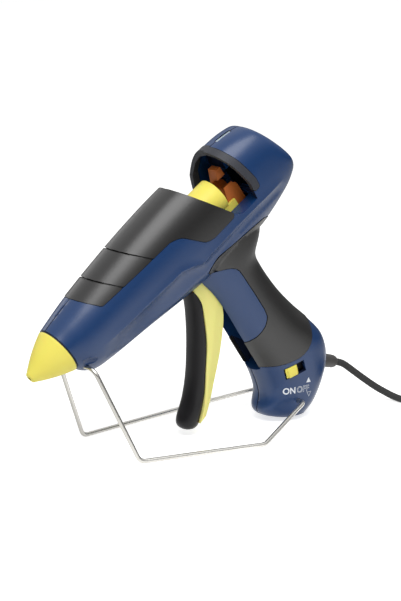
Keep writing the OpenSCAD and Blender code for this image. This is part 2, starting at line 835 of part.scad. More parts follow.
// The pad's sections, from its front line to a line inside the lever
pad_sections = [
    [120, -37.5, 127, -37.5, trigger_w / 2 - 0.6, 2.2], [115, -48.5, 126, -47, trigger_w / 2, 2.4],
    [106.5, -62, 121, -57, trigger_w / 2, 2.4], [97, -74.5, 112, -74, trigger_w / 2, 2.4],
    [87, -86.5, 101, -88, trigger_w / 2, 2.4], [76, -96.5, 92, -99.5, trigger_w / 2, 2.4],
    [65.5, -103.5, 84, -107, trigger_w / 2, 2.4], [62.5, -107.5, 78, -112, trigger_w / 2 - 0.4, 2.4],
    [63.5, -111.5, 74.5, -115, trigger_w / 2 - 1.6, 2.3], [66.5, -114.5, 71.5, -116, trigger_w / 2 - 4, 2.2]
];
module trigger_pad() {
    color(black) gun() one_mesh() difference() {
        skin([for (s = reversed(curve(pad_sections, 2))) ring(s, 8)]);
        across(-trigger_w, trigger_w) polygon(concat(
            curve(pad_back, 3), [[122.6, -30], [150, -30], [150, -130], [73, -130]]
        ));
    }
}

module trigger_lever_outline() {
    face = reversed([for (p = curve(pad_back, 3)) p + [pad_seam, 0]]);
    difference() {
        union() {
            polygon(concat(
                [[pivot[0] - 2, pivot[1] + 8], [124, -33]],
                face,
                curve(trigger_back, 2),
                [[pivot[0] + 5, pivot[1] - 5]]
            ));
            translate(pivot) circle(7);
            polygon([pivot + [-6, 2], pivot + [6.5, 0], drive_at + [4, 0], drive_at + [-4, 0]]);
            translate(drive_at) circle(4);
        }
    }
}

module trigger() {
    color(yellow) gun() difference() {
        across(-trigger_w / 2, trigger_w / 2) trigger_lever_outline();
        // Fork for the feed tube's lug
        translate([drive_at[0] - 16, -lug_half_w - slide, drive_at[1] - 7])
            cube([32, 2 * (lug_half_w + slide), 30]);
        // Slot for the return spring
        translate([pivot[0] - spring_room, -lug_half_w - slide, pivot[1]])
            cube([2 * spring_room, 2 * (lug_half_w + slide), drive_at[1] - pivot[1]]);
        cross_pin(pivot, spring_room, -lug_half_w - slide, lug_half_w + slide);
        cross_pin(pivot, pin_r + run, -big / 4, big / 4);
        cross_pin(drive_at, drive_pin_r, -big / 4, big / 4);
    }
}

module trigger_pin() {
    color(steel) gun() cross_pin(pivot, pin_r, -pin_reach, pin_reach);
}

// A round wire or lead swept along points, with its ends cut square
function unit(v) = v / norm(v);
function heading(p, i) = unit(p[min(i + 1, len(p) - 1)] - p[max(i - 1, 0)]);
function side_of(h) = unit(cross(abs(h[2]) < 0.9 ? [0, 0, 1] : [0, 1, 0], h));
// Side directions carried along the path without twist
function carried(p, a, i = 0) = i == len(p) ? [] : let (
    h = heading(p, i),
    b = unit(a - h * (a * h))
) concat([b], carried(p, b, i + 1));
function tube_ring(at, h, a, r, sides) = let (b = cross(h, a)) [
    for (k = [0 : sides - 1])
        at + r * (cos(360 * k / sides) * a - sin(360 * k / sides) * b)
];

module tube(p, r, sides) {
    a = carried(p, side_of(heading(p, 0)));
    skin([for (i = [0 : len(p) - 1]) tube_ring(p[i], heading(p, i), a[i], r, sides)]);
}

// Torsion spring on the trigger pin, between the cheeks of the trigger's fork
spring_wire = 0.9;
spring_turns = 4.5;
spring_pitch = 1.4;
spring_leg = 8;
spring_r = pin_r + 0.35 + spring_wire / 2;
spring_room = spring_r + spring_wire / 2 + 0.6;
module trigger_spring() {
    steps = 12 * spring_turns;
    half_len = spring_pitch * spring_turns / 2;
    coil = [
        for (i = [0 : steps])
            let (angle = 360 * i / 12 - 180)
            [pivot[0] + spring_r * cos(angle), spring_pitch * i / 12 - half_len,
                pivot[1] + spring_r * sin(angle)]
    ];
    legs = [for (side = [-1, 1]) [pivot[0] + side * spring_r, side * half_len, pivot[1] + spring_leg]];
    color(steel) gun() tube(concat([legs[0]], coil, [legs[1]]), spring_wire / 2, 6);
}

// Sliding mains switch in the left flank of the handle's base
switch_at = [handle_front + 18, -base_depth + 37.5];
switch_turn = 19.5;
knob_shift = -switch_travel / 2;
switch_depth = wall + 2.9;
switch_face_y = -handle_half_w + switch_depth;
switch_body_size = [20, 8, 6];

// The window's place: x along the travel, z out of the left flank
module switch_place() {
    translate([switch_at[0], -handle_half_w, switch_at[1]]) rotate([0, switch_turn, 0])
        rotate([90, 0, 0]) children();
}

module switch_knob() {
    stem = [knob_size[0] - 4, knob_size[1] - 2, switch_depth - fit - 2];
    color(yellow) gun() switch_place() translate([knob_shift, 0, 0]) {
        translate([-stem[0] / 2, -stem[1] / 2, -switch_depth + fit]) cube(stem);
        translate([-knob_size[0] / 2, -knob_size[1] / 2, -2]) cube([knob_size[0], knob_size[1], 1.2]);
        translate([-knob_size[0] / 2 + 1.2, -knob_size[1] / 2, -1])
            cube([knob_size[0] - 2.4, knob_size[1], 1.6]);
    }
}

module switch_body() {
    color([0.2, 0.2, 0.2]) gun() switch_place()
        translate([-switch_body_size[0] / 2, -switch_body_size[1] / 2, -switch_depth - switch_body_size[2]])
            cube(switch_body_size);
}

// Circuit board in the base of the handle
board_size = [20, 1.6, 24];
board_at = [handle_front + 4.5, 2, -base_depth + 25];
post_w = 3;
module control_board() {
    color([0.1, 0.35, 0.2]) gun() translate(board_at) {
        cube(board_size);
        translate([5, board_size[1] - eps, 5]) cube([8, 5, 8]);
        translate([4, board_size[1] - eps, 16]) cube([6, 7, 5]);
    }
}

// Two insulated leads from the board to the heater
lead_d = 1.8;
module heater_leads() {
    heater_end = heater_x + heater_size[0] + 2 * fit;
    for (side = [0, 1]) {
        y = 2.4 * side;
        // From the board's terminals to the back of the handle
        low = [for (p = [
            [7.5, 3.5, 21 + fit], [7.6, 3.5, 22], [9.5, 3.5, 23.8], [13.5, 3.4, 24.6],
            [17.5, 3.2, 25.5], [24, 3, 26.4], [31.5, 2, 31], [33.5, 2, 40]
        ]) board_at + p + [0, y, 0]];
        // Up the handle and along the barrel to the heater
        high = [for (p = [
            [168.5, 4, -62], [168, 5, -46], [160, 9, -30], [150, 12, -21], [128, 12, -19.5],
            [104, 12, -19.5], [96, 8, -18], [91, 3, -14], [heater_end, 1, heater_z + 0.5]
        ]) p + [0, y, 0]];
        color([0.7, 0.2, 0.15]) gun() tube(curve(concat(low, high), 2), lead_d / 2, 6);
    }
}

// Strain relief and lead at the back of the base
boot_neck_r = 4;
boot_r = 5;
boot_x = boot_from_tip - mid_x;
// The lead's own frame: x out of the housing, from the strain relief's collar
module lead_frame() {
    translate([boot_x, 0, boot_height]) rotate([0, boot_pitch, 0]) children();
}

module strain_relief() {
    color(black) lead_frame() turned([
        [-9, cord_d / 2 + run], [-9, boot_neck_r + 1.8], [-5, boot_neck_r + 1.8], [-5, boot_neck_r],
        [1, boot_neck_r], [1, boot_r], [boot_len - 2.5, boot_r - 0.4], [boot_len - 1, boot_r - 0.9],
        [boot_len, cord_d / 2 + boot_lip], [boot_len, cord_d / 2 + run]
    ]);
}

// End of the lead inside the housing
inner_len = 22;
module inner_cord() {
    color(black) lead_frame() along_barrel(-inner_len, boot_len - fit, cord_d / 2);
}

// Bar that clamps the lead, and its two screws
clamp_size = [8, 18, 4];
clamp_back = 20;
clamp_shelf = 7;
clamp_screw_y = 6;
clamp_screw_r = 1.2;
module clamp_screw_places() {
    for (y = [-clamp_screw_y, clamp_screw_y])
        translate([clamp_size[0] / 2 - clamp_back, y, cord_d / 2 + run]) children();
}

module cord_clamp() {
    color([0.25, 0.25, 0.27]) lead_frame() difference() {
        translate([-clamp_back, -clamp_size[1] / 2, cord_d / 2 + run]) cube(clamp_size);
        clamp_screw_places() translate([0, 0, -1])
            cylinder(r = clamp_screw_r + run, h = clamp_size[2] + 2);
    }
}

module clamp_screws() {
    color(steel) lead_frame() clamp_screw_places() {
        translate([0, 0, clamp_size[2] + run]) cylinder(r = 2.2, h = 1.6);
        translate([0, 0, -clamp_shelf / 2]) cylinder(r = clamp_screw_r, h = clamp_size[2] + 4.5);
    }
}

// Shelf under the clamp bar
module clamp_shelf_block() {
    difference() {
        translate([-clamp_back, -big / 4, -clamp_shelf])
            cube([clamp_size[0], big / 2, clamp_shelf + cord_d / 2]);
        translate([-clamp_back - 1, -cord_d / 2 - run, -cord_d / 2 - run])
            cube([clamp_size[0] + 2, cord_d + 2 * run, 2 * cord_d]);
        clamp_screw_places() translate([0, 0, -clamp_shelf / 2 - 1])
            cylinder(r = (clamp_screw_r + run) / cos(22.5), h = 20, $fn = 8);
    }
}

module housing_screws() {
    color(steel) gun() for (p = screw_at) {
        cross_pin(p, screw_head_r, screw_head_y + fit, screw_head_y + fit + 2);
        cross_pin(p, screw_r, -8.5, screw_head_y + fit + eps);
    }
}

// One bent wire: the ends spring into the base, the middle crosses the nose
foot_z = wire_d / 2;
front_foot_x = stood([nose_hole[0], 0, nose_hole[1]])[0] + 26.1;
rear_foot_x = stood([base_hole[0], 0, base_hole[1]])[0] - 54;
leg_out = bend_r;
function stand_path() = let (
    nose = stood([nose_hole[0], 0, nose_hole[1]]),
    base = stood([base_hole[0], 0, base_hole[1]])
) [
    [base[0], -base_hole_in, base[2]],
    [base[0], -handle_half_w - leg_out, base[2]],
    [rear_foot_x, -rear_foot_y, foot_z],
    [front_foot_x, -front_foot_y, foot_z],
    [nose[0], -nose_r - leg_out, nose[2]],
    [nose[0], nose_r + leg_out, nose[2]],
    [front_foot_x, front_foot_y, foot_z],
    [rear_foot_x, rear_foot_y, foot_z],
    [base[0], handle_half_w + leg_out, base[2]],
    [base[0], base_hole_in, base[2]]
];

// Points of the bend around the corner b
bend_steps = 5;
function bend(a, b, c) = let (
    along = unit(b - a),
    turn = acos(along * unit(c - b)),
    inward = unit(unit(c - b) - along * cos(turn)),
    middle = b - along * bend_r * tan(turn / 2) + inward * bend_r
) [
    for (k = [0 : bend_steps])
        let (angle = turn * k / bend_steps)
        middle + bend_r * (sin(angle) * along - cos(angle) * inward)
];

module wire_stand() {
    p = stand_path();
    last = len(p) - 1;
    bends = [for (i = [1 : last - 1]) each bend(p[i - 1], p[i], p[i + 1])];
    color(steel) tube(concat([p[0]], bends, [p[last]]), wire_d / 2, 12);
}

// Route of the lead from the strain relief to the coil
coil_pitch = cord_d + coil_gap;
coil_out = coil_in + coil_turns * coil_pitch;
coil_low = tie_t + cord_d / 2;
lead_way = [cos(boot_pitch), 0, -sin(boot_pitch)];
cord_start = [boot_x, 0, boot_height] + boot_len * lead_way;
coil_start = [cord_start[0] + 46.6, -46, coil_low];
coil_join = coil_start + [0, 1, 0];
coil_at = [coil_start[0] + coil_out, coil_start[1]];
cord_low = cord_d / 2 + 0.3;
cord_route = [
    cord_start, cord_start + 1.5 * lead_way, cord_start + 3 * lead_way, cord_start + [6.9, -0.2, -2.2],
    cord_start + [10.7, -0.9, -4.7], cord_start + [17.5, -2.7, -10.2], cord_start + [22.4, -4.4, -14.2],
    cord_start + [27.8, -6.3, -18.5], cord_start + [33.1, -8.4, -22.5],
    [cord_start[0] + 37.9, -11.3, cord_low + 3.6], [cord_start[0] + 41.4, -15.6, cord_low + 1.1],
    [cord_start[0] + 43.4, -22.4, cord_low], [cord_start[0] + 45.3, -31.5, coil_low - 0.3],
    coil_join + [0, 6, 0], coil_join + [0, 3, 0], coil_join
];

module cord() {
    color(black) tube(curve(cord_route, 2), cord_d / 2, 10);
}

// The coil: one layer spirals in, the next spirals out, then the end steps down to the plug
coil_rings = 24;
tail_turn = 0.4;
plug_size = [36, 35, 14];
plug_lift = (plug_size[2] / 2 - coil_low) / coil_pitch;
function climb(t) = let (s = min(max(t, 0), 1)) s * s * (3 - 2 * s);
function coil_point(turn) = let (
    inward = turn < coil_turns,
    past = max(turn - 2 * coil_turns, 0) / tail_turn,
    r = inward ? coil_out - coil_pitch * turn
        : min(coil_in + coil_pitch * (turn - coil_turns), coil_out) + coil_pitch * climb(past * 2),
    up = climb((turn - coil_turns) * 2 + 0.5) - climb(past * 2 - 0.9) + plug_lift * climb(past * 4 - 3),
    angle = 180 + 360 * turn
) [
    coil_at[0] + r * cos(angle),
    coil_at[1] + r * sin(angle),
    coil_low + coil_pitch * up
];
coil_count = round((2 * coil_turns + tail_turn) * coil_rings);
coil_end = coil_point(coil_count / coil_rings);
coil_path = concat(
    [coil_join],
    [for (i = [0 : coil_count]) coil_point(i / coil_rings)],
    [coil_end + [0, cord_d, 0]]
);
// Least gap between the turns of the coil
coil_least_gap = min([
    for (i = [0 : coil_count - 12])
        for (j = [i + 12 : coil_count])
            norm(coil_path[i] - coil_path[j])
]) - cord_d;
echo(coil_least_gap = coil_least_gap);

module cord_coil() {
    color(black) tube(coil_path, cord_d / 2, 6);
}

// Band around the coil
tie_w = 9;
tie_angle = 70;
module coil_tie() {
    low = coil_in - cord_d / 2 - 0.3;
    high = coil_out + cord_d / 2 + 0.3;
    top = tie_t + cord_d + coil_pitch + 0.3;
    color(black) translate([coil_at[0], coil_at[1], 0]) rotate([0, 0, tie_angle]) difference() {
        translate([low - tie_t, -tie_w / 2, 0]) cube([high - low + 2 * tie_t, tie_w, top + tie_t]);
        translate([low, -tie_w, tie_t]) cube([high - low, 2 * tie_w, top - tie_t]);
    }
}

// Flat two-pin plug at the end of the lead
pin_d = 4;
pin_len = 19;
pin_gap = 18.6;
pin_root = 6;
pin_root_d = 3.5;
pin_bare = 9;
plug_at = [coil_end[0], coil_end[1] + cord_d, plug_size[2] / 2];
plug_neck = 9;
module plug_slab(x, w, t) {
    translate([x, -w / 2, -t / 2]) rotate([0, 90, 0]) translate([-t / 2 * 2, 0, 0])
        linear_extrude(0.5) offset(3, $fn = 16) offset(delta = -3) square([t, w]);
}

module plug() {
    color(black) translate(plug_at) rotate([0, 0, -90]) difference() {
        hull() {
            plug_slab(-plug_size[0], plug_size[1] * 0.72, plug_size[2]);
            plug_slab(-plug_size[0] + 8, plug_size[1] * 0.72, plug_size[2]);
            plug_slab(-plug_size[0] * 0.55, plug_size[1] * 0.6, plug_size[2] - 1);
            plug_slab(-0.5, plug_neck, plug_neck);
        }
        for (side = [-1, 1])
            translate([-plug_size[0] - 1, side * pin_gap / 2, 0]) rotate([0, 90, 0])
                cylinder(r = pin_root_d / 2 + run, h = pin_root + 1);
    }
}

// Each pin has a bare end and an insulated root, a little thinner
module plug_pins() {
    color(steel) for (side = [-1, 1])
        translate(plug_at) rotate([0, 0, -90])
        translate([-plug_size[0] - pin_len, side * pin_gap / 2, 0]) rotate([0, 90, 0]) {
            cylinder(r = pin_d / 2, h = pin_bare);
            cylinder(r = pin_root_d / 2, h = pin_len + pin_root - run);
        }
}

left_housing();
right_housing();
barrel_grip_left();
barrel_grip_right();
handle_grip_left();
handle_grip_right();
bay_lip_left();
bay_lip_right();
indicator_lens();
indicator_lamp();
stick_bush();
nozzle_cover();
nose_seal();
nozzle();
melt_chamber();
heater();
inlet_sleeve();
feed_tube();
drive_pin();
stick_gripper();
gripper_pin();
trigger();
trigger_pad();
trigger_pin();
trigger_spring();
switch_knob();
switch_body();
control_board();
heater_leads();
cord_clamp();
clamp_screws();
housing_screws();
wire_stand();
strain_relief();
inner_cord();
cord();
cord_coil();
coil_tie();
plug();
plug_pins();
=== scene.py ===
"""Looks of a hot glue applicator on its wire stand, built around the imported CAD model."""

import logging
import math
from dataclasses import dataclass, field
from enum import Enum
from typing import Iterable, Optional, Sequence, Union

import bmesh
import bpy
from bmesh.types import BMEdge, BMesh, BMFace, BMLayerItem, BMVert
from bpy.types import ID, Material, Node, NodeSocket, NodeTree, Object, Scene
from mathutils import Matrix, Vector
from mathutils.bvhtree import BVHTree


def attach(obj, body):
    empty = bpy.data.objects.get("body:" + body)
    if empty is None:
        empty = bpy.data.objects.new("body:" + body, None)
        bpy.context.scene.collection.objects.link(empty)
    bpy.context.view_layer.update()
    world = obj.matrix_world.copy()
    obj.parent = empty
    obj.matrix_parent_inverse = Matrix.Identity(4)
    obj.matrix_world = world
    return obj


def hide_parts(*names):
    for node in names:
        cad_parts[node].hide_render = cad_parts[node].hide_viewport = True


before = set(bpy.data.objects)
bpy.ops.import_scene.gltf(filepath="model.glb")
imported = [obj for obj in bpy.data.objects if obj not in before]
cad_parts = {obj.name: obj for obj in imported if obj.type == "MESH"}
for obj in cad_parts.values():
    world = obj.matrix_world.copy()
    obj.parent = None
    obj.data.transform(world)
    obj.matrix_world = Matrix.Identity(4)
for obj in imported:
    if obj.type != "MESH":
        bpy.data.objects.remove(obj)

log = logging.getLogger("applicator")
# Lengths that come from the CAD are in millimetres, those that work on meshes in place are in metres
MM = 0.001
# Half width and depth of the parting groove, and a distance that counts as none, in metres
GROOVE, NIL = 0.0005, 0.00002
# Turn in degrees from which edges of cut pieces stay sharp
CRISP = 30.0
# Corners nearer than this are one: in CAD copies and in bars in metres, in turned pieces in millimetres
WELD, BAR_WELD, TURNED_WELD = 0.000004, 0.000002, 0.001
# Degrees between faces that count as one flat, and how much longer than its rounding an edge has to be
FLAT, ROOM = 0.6, 1.2
# Cosine from which one direction counts as along another
ALONG = 0.9

Triple = tuple[float, float, float]
Pair = tuple[float, float]
Colour = tuple[float, float, float, float]
Inputs = dict[Union[int, str], Union[float, Sequence[float], NodeSocket]]


class Body(Enum):
    """The bodies of the frame that pieces ride on."""

    HOUSING = "housing"
    TRIGGER = "trigger"
    FEED = "feed"
    GRIPPER = "gripper"
    SWITCH = "switch"


class Side(Enum):
    """The two flanks of the applicator."""

    LEFT = "left"
    RIGHT = "right"


class Ground(Enum):
    """What the surface of a finish is like: moulded with a grain, brushed, or as smooth as glass."""

    GRAIN = "grain"
    BRUSHED = "brushed"
    GLASSY = "glassy"


def linear(screen: tuple[int, int, int]) -> Colour:
    """A colour given as screen values, in Blender's linear values.

    Args:
        screen: Red, green and blue from 0 to 255.

    Returns:
        The colour as four linear numbers.
    """
    shares = [c / 255 for c in screen]
    flat = [c / 12.92 if c <= 0.04045 else ((c + 0.055) / 1.055) ** 2.4 for c in shares]
    return (flat[0], flat[1], flat[2], 1.0)


def added(tree: NodeTree, kind: str, inputs: Optional[Inputs] = None, operation: str = "") -> Node:
    """Adds a shader node, or sets one that is there.

    Args:
        tree: The nodes that it joins.
        kind: Its type, or the name of the node that is there.
        inputs: A constant or another node's output for each input.
        operation: What it does, where its type leaves that open.

    Returns:
        The node.
    """
    node = tree.nodes.get(kind) or tree.nodes.new(kind)
    if operation:
        node.operation = operation
    for name, value in (inputs or {}).items():
        if isinstance(value, NodeSocket):
            tree.links.new(value, node.inputs[name])
        else:
            node.inputs[name].default_value = value
    return node


def ranged(tree: NodeTree, value: NodeSocket, ends: Pair, span: Pair = (0.0, 1.0)) -> NodeSocket:
    """Maps a value from a span onto the range between two ends, which it doesn't leave."""
    limits = dict(zip(("From Min", "From Max", "To Min", "To Max"), span + ends))
    return added(tree, "ShaderNodeMapRange", {"Value": value, **limits}).outputs["Result"]


@dataclass(frozen=True)
class Finish:
    """A surface finish: its colour, how it varies, its gloss and its grain."""

    name: str
    colour: tuple[int, int, int]
    shade: tuple[int, int, int]
    rough: Pair = (0.4, 0.5)
    mottle_scale: float = 60.0
    grain_scale: float = 2600.0
    grain_depth: float = 0.00002
    ground: Ground = Ground.GRAIN
    metallic: float = 0.0
    specular: float = 0.5
    sheen: float = 0.0
    coat: float = 0.0
    subsurface: float = 0.0
    sheen_rough: float = 0.4
    coat_rough: float = 0.15
    subsurface_depth: float = 0.0015
    bump: float = 0.6
    brushing: Triple = (1.0, 0.06, 1.0)
    mottle_detail: float = 3.0
    grain_detail: float = 4.0

    def material(self) -> Material:
        """The node material of this finish, made once and shared.

        Returns:
            The material.
        """
        made = bpy.data.materials.get(self.name)
        if made is not None:
            return made
        made = bpy.data.materials.new(self.name)
        made.use_nodes = True
        tree = made.node_tree
        spot = added(tree, "ShaderNodeTexCoord").outputs["Object"]
        if self.ground is Ground.BRUSHED:
            stretch = {"Vector": spot, "Scale": self.brushing}
            spot = added(tree, "ShaderNodeMapping", stretch).outputs["Vector"]
        noises = [{"Vector": spot, "Scale": scale, "Detail": detail} for scale, detail in (
            (self.mottle_scale, self.mottle_detail), (self.grain_scale, self.grain_detail))]
        mottle, grain = (added(tree, "ShaderNodeTexNoise", noise).outputs["Fac"] for noise in noises)
        tint = added(tree, "ShaderNodeMix", {0: mottle, 6: linear(self.colour), 7: linear(self.shade)})
        tint.data_type = "RGBA"
        bump = added(tree, "ShaderNodeBump", {
            "Strength": self.bump, "Distance": self.grain_depth, "Height": grain})
        added(tree, "Principled BSDF", {
            "Base Color": tint.outputs[2],
            "Roughness": ranged(tree, mottle if self.ground is Ground.GLASSY else grain, self.rough),
            "Normal": bump.outputs["Normal"],
            "Metallic": self.metallic,
            "Specular IOR Level": self.specular,
            "Sheen Weight": self.sheen,
            "Sheen Roughness": self.sheen_rough,
            "Coat Weight": self.coat,
            "Coat Roughness": self.coat_rough,
            "Subsurface Weight": self.subsurface,
            "Subsurface Scale": self.subsurface_depth,
        })
        return made


class Finishes:
    """The finishes of the applicator."""

    BLUE = Finish("satin_blue_shell", (14, 51, 98), (18, 57, 106), (0.27, 0.35), 40.0, 2600.0, 0.000018,
                  specular=0.52)
    # Painted shade: the blue darkened for the shell's inner faces and its parting groove, where shade falls
    PAINTED_SHADE = Finish("painted_shade_inner_shell", (15, 24, 48), (18, 28, 54), (0.5, 0.62), 40.0, specular=0.2)
    GRIP = Finish("soft_touch_grip", (19, 18, 18), (24, 23, 23), (0.32, 0.4), 55.0, 3200.0, 0.00003,
                  specular=0.64, sheen=0.02)
    TRIGGER_PAD = Finish("soft_trigger_pad", (14, 13, 16), (19, 18, 21), (0.32, 0.4), 55.0, 3200.0,
                         0.00003, specular=0.25, sheen=0.01)
    LIP = Finish("soft_bay_lip", (48, 50, 57), (54, 56, 63), (0.5, 0.6), 55.0, 3200.0, 0.00003,
                 specular=0.35, sheen=0.04)
    YELLOW = Finish("satin_yellow", (243, 228, 96), (246, 233, 110), (0.36, 0.46), 45.0, 2400.0, 0.000015,
                    subsurface=0.12, specular=0.35)
    PALE_YELLOW = Finish("pale_lever_yellow", (248, 240, 140), (249, 243, 152), (0.45, 0.55), 45.0, 2400.0,
                         0.000015, subsurface=0.12, specular=0.3)
    ORANGE = Finish("satin_orange", (198, 112, 50), (184, 98, 42), (0.38, 0.5), 90.0, 2400.0, specular=0.3)
    LENS = Finish("frosted_lens", (160, 171, 182), (172, 183, 193), (0.14, 0.24), 80.0, 1500.0, 0.000008,
                  Ground.GLASSY, subsurface=0.2, coat=0.3, specular=0.3)
    LAMP = Finish("lamp_red", (190, 60, 40), (200, 70, 46), (0.2, 0.3), 90.0, 1500.0, 0.000008,
                  Ground.GLASSY, subsurface=0.3)
    BLACK = Finish("black_moulding", (34, 34, 36), (40, 40, 42), (0.42, 0.55))
    SILICONE = Finish("dark_silicone", (28, 28, 32), (34, 34, 38), (0.55, 0.68), sheen=0.05)
    BRASS = Finish("turned_brass", (96, 78, 52), (110, 90, 62), (0.22, 0.36), 120.0, 3000.0, 0.00001,
                   Ground.BRUSHED, 1.0)
    ALUMINIUM = Finish("cast_aluminium", (176, 178, 182), (188, 190, 194), (0.4, 0.58), 160.0, 1800.0,
                       0.00004, metallic=1.0)
    CERAMIC = Finish("ceramic", (222, 216, 204), (230, 225, 214), (0.5, 0.62), 150.0)
    STEEL = Finish("bright_steel", (176, 177, 180), (188, 189, 192), (0.22, 0.34), 120.0, 3000.0, 0.00001,
                   Ground.BRUSHED, 1.0)
    WIRE = Finish("nickel_wire", (204, 202, 197), (210, 208, 203), (0.24, 0.32), 90.0, 1200.0, 0.000006,
                  metallic=1.0)
    BOARD = Finish("solder_resist", (28, 92, 52), (34, 104, 60), (0.28, 0.4), 300.0, 1800.0, 0.00001,
                   coat=0.3)
    INSULATION = Finish("red_insulation", (170, 40, 34), (180, 48, 40), (0.42, 0.52), 90.0, 2400.0)
    LEAD = Finish("lead_rubber", (44, 44, 45), (50, 50, 51), (0.38, 0.48), 70.0, 1800.0)
    COLLAR = Finish("collar_rubber", (62, 60, 59), (68, 66, 65), (0.45, 0.56), 70.0, 2200.0)
    PIN = Finish("plug_pin_metal", (204, 203, 198), (212, 211, 207), (0.18, 0.28), 90.0, 2400.0, 0.000008,
                 metallic=1.0)
    INK = Finish("white_ink", (236, 240, 246), (228, 234, 242), (0.4, 0.5), 200.0, 2400.0, 0.00001)


PLAIN_NODES: dict[Finish, tuple[str, ...]] = {
    Finishes.STEEL: ("drive_pin", "gripper_pin", "trigger_pin", "trigger_spring", "clamp_screws",
                     "housing_screws"),
    Finishes.BLACK: ("stick_bush", "switch_body", "cord_clamp"),
    Finishes.SILICONE: ("nose_seal", "inlet_sleeve"),
    Finishes.LAMP: ("indicator_lamp",),
    Finishes.BRASS: ("nozzle",),
    Finishes.ALUMINIUM: ("melt_chamber",),
    Finishes.CERAMIC: ("heater",),
    Finishes.BOARD: ("control_board",),
    Finishes.INSULATION: ("heater_leads",),
    Finishes.LEAD: ("inner_cord",),
    Finishes.PIN: ("plug_pins",),
}


@dataclass
class Stance:
    """How the applicator stands: drawn along its barrel in millimetres, tipped nose down."""

    tilt: float = 36.0
    base_lift: float = 3.2
    base_depth: float = 171.0
    handle_front: float = 130.5
    handle_depth: float = 46.0
    base_toe: Pair = (-11.5, 17.0)
    boot_back: float = 1.0
    boot_up: float = 16.1
    boot_len: float = 14.5
    boot_pitch: float = 14.0
    boot_end_r: float = 3.7
    cover_tip_r: float = 4.0
    tip_edge: float = 0.4

    @property
    def tip_height(self) -> float:
        """Height of the nozzle tip above the table.

        Returns:
            The height in millimetres.
        """
        turn = math.radians(self.tilt)
        drop = (self.base_depth - self.base_toe[1]) * math.cos(turn)
        return self.base_lift + drop - (self.handle_front + self.base_toe[0]) * math.sin(turn)

    @property
    def boot_along(self) -> Pair:
        """The strain relief's collar, along the barrel and up from the glue axis."""
        return (self.handle_front + self.handle_depth - self.boot_back, -self.base_depth + self.boot_up)

    @property
    def mid_x(self) -> float:
        """Middle of the standing length, from the nozzle tip.

        Returns:
            The distance in millimetres.
        """
        turn, pitch = math.radians(self.tilt), math.radians(self.boot_pitch)
        boot = self.boot_along[0] * math.cos(turn) - self.boot_along[1] * math.sin(turn)
        reach = self.boot_len * math.cos(pitch) + self.boot_end_r * math.sin(pitch)
        tip, edge = self.cover_tip_r - self.tip_edge, self.tip_edge
        return (boot + reach - tip * math.sin(turn) + edge * math.cos(turn)) / 2

    @property
    def matrix(self) -> Matrix:
        """From millimetres along the barrel to metres as it stands."""
        shift = Matrix.Translation((-self.mid_x * MM, 0.0, self.tip_height * MM))
        return shift @ Matrix.Rotation(-math.radians(self.tilt), 4, "Y") @ Matrix.Scale(MM, 4)

    @property
    def lead_matrix(self) -> Matrix:
        """From millimetres along the lead, out of the strain relief's collar, to metres."""
        at = Matrix.Translation(self.matrix @ Vector((self.boot_along[0], 0.0, self.boot_along[1])))
        return at @ Matrix.Rotation(math.radians(self.boot_pitch), 4, "Y") @ Matrix.Scale(MM, 4)


STANCE = Stance()
# From metres as the applicator stands to millimetres along its barrel
BACK = STANCE.matrix.inverted()


def through(points: Sequence[Vector], steps: int) -> list[Vector]:
    """A smooth curve through points.

    Args:
        points: The points, all of one dimension.
        steps: Parts between two points.

    Returns:
        The points of the curve.
    """
    last, made = len(points) - 1, []
    for i in range(last):
        a, b, c, d = points[max(i - 1, 0)], points[i], points[i + 1], points[min(i + 2, last)]
        for j in range(steps):
            t = j / steps
            made.append(0.5 * (2 * b + (c - a) * t + (2 * a - 5 * b + 4 * c - d) * t * t
                               + (3 * b - a - 3 * c + d) * t ** 3))
    return made + [points[last].copy()]


def linked(name: str, data: ID) -> Object:
    """A new object in the scene."""
    bpy.context.scene.collection.objects.link(made := bpy.data.objects.new(name, data))
    return made


def triangulate(mesh: BMesh) -> None:
    """Divides the larger faces of a mesh into triangles."""
    bmesh.ops.triangulate(mesh, faces=[f for f in mesh.faces if len(f.verts) > 3])


def bevelled(mesh: BMesh, edges: list[BMEdge], width: float, segments: int) -> None:
    """Rounds edges of a mesh by a width, with some faces across the rounding."""
    bmesh.ops.bevel(mesh, geom=edges, offset=width, offset_type="OFFSET", segments=segments, profile=0.5,
                    affect="EDGES", material=-1, clamp_overlap=True)


def settled(name: str, mesh: BMesh, finish: Finish, body: Body,
            nodes: Iterable[str] = (), sharp: float = 38.0, inner: Optional[Finish] = None) -> Object:
    """Makes a finished piece of a mesh that is already in place.

    Args:
        name: The piece's name.
        mesh: The mesh, in metres as the applicator stands; it is used up.
        finish: The piece's finish.
        body: The body that it rides on.
        nodes: The CAD nodes that it stands for.
        sharp: Edges that turn by more degrees than this stay sharp.
        inner: The finish of faces whose material index is 1: painted shade.

    Returns:
        The piece.
    """
    mesh.normal_update()
    outer = mesh.faces.layers.int.get("outer")
    for face in mesh.faces:
        face.smooth = True
    for edge in mesh.edges:
        beside = {face[outer] > 0 for face in edge.link_faces} if outer else set()
        edge.smooth = len(beside) < 2 and edge.calc_face_angle(0.0) < math.radians(sharp)
    data = bpy.data.meshes.new(name)
    mesh.to_mesh(data)
    mesh.free()
    data.materials.append(finish.material())
    if inner is not None:
        data.materials.append(inner.material())
    piece = linked(name, data)
    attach(piece, body.value)
    if nodes:
        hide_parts(*nodes)
    log.info("%s: %d faces", name, len(data.polygons))
    return piece


def node_copy(node: str) -> BMesh:
    """A copy of a CAD node's mesh, with its corners merged.

    Args:
        node: The node's name.

    Returns:
        The copy.
    """
    mesh = bmesh.new()
    mesh.from_mesh(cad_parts[node].data)
    bmesh.ops.remove_doubles(mesh, verts=mesh.verts[:], dist=WELD)
    return mesh


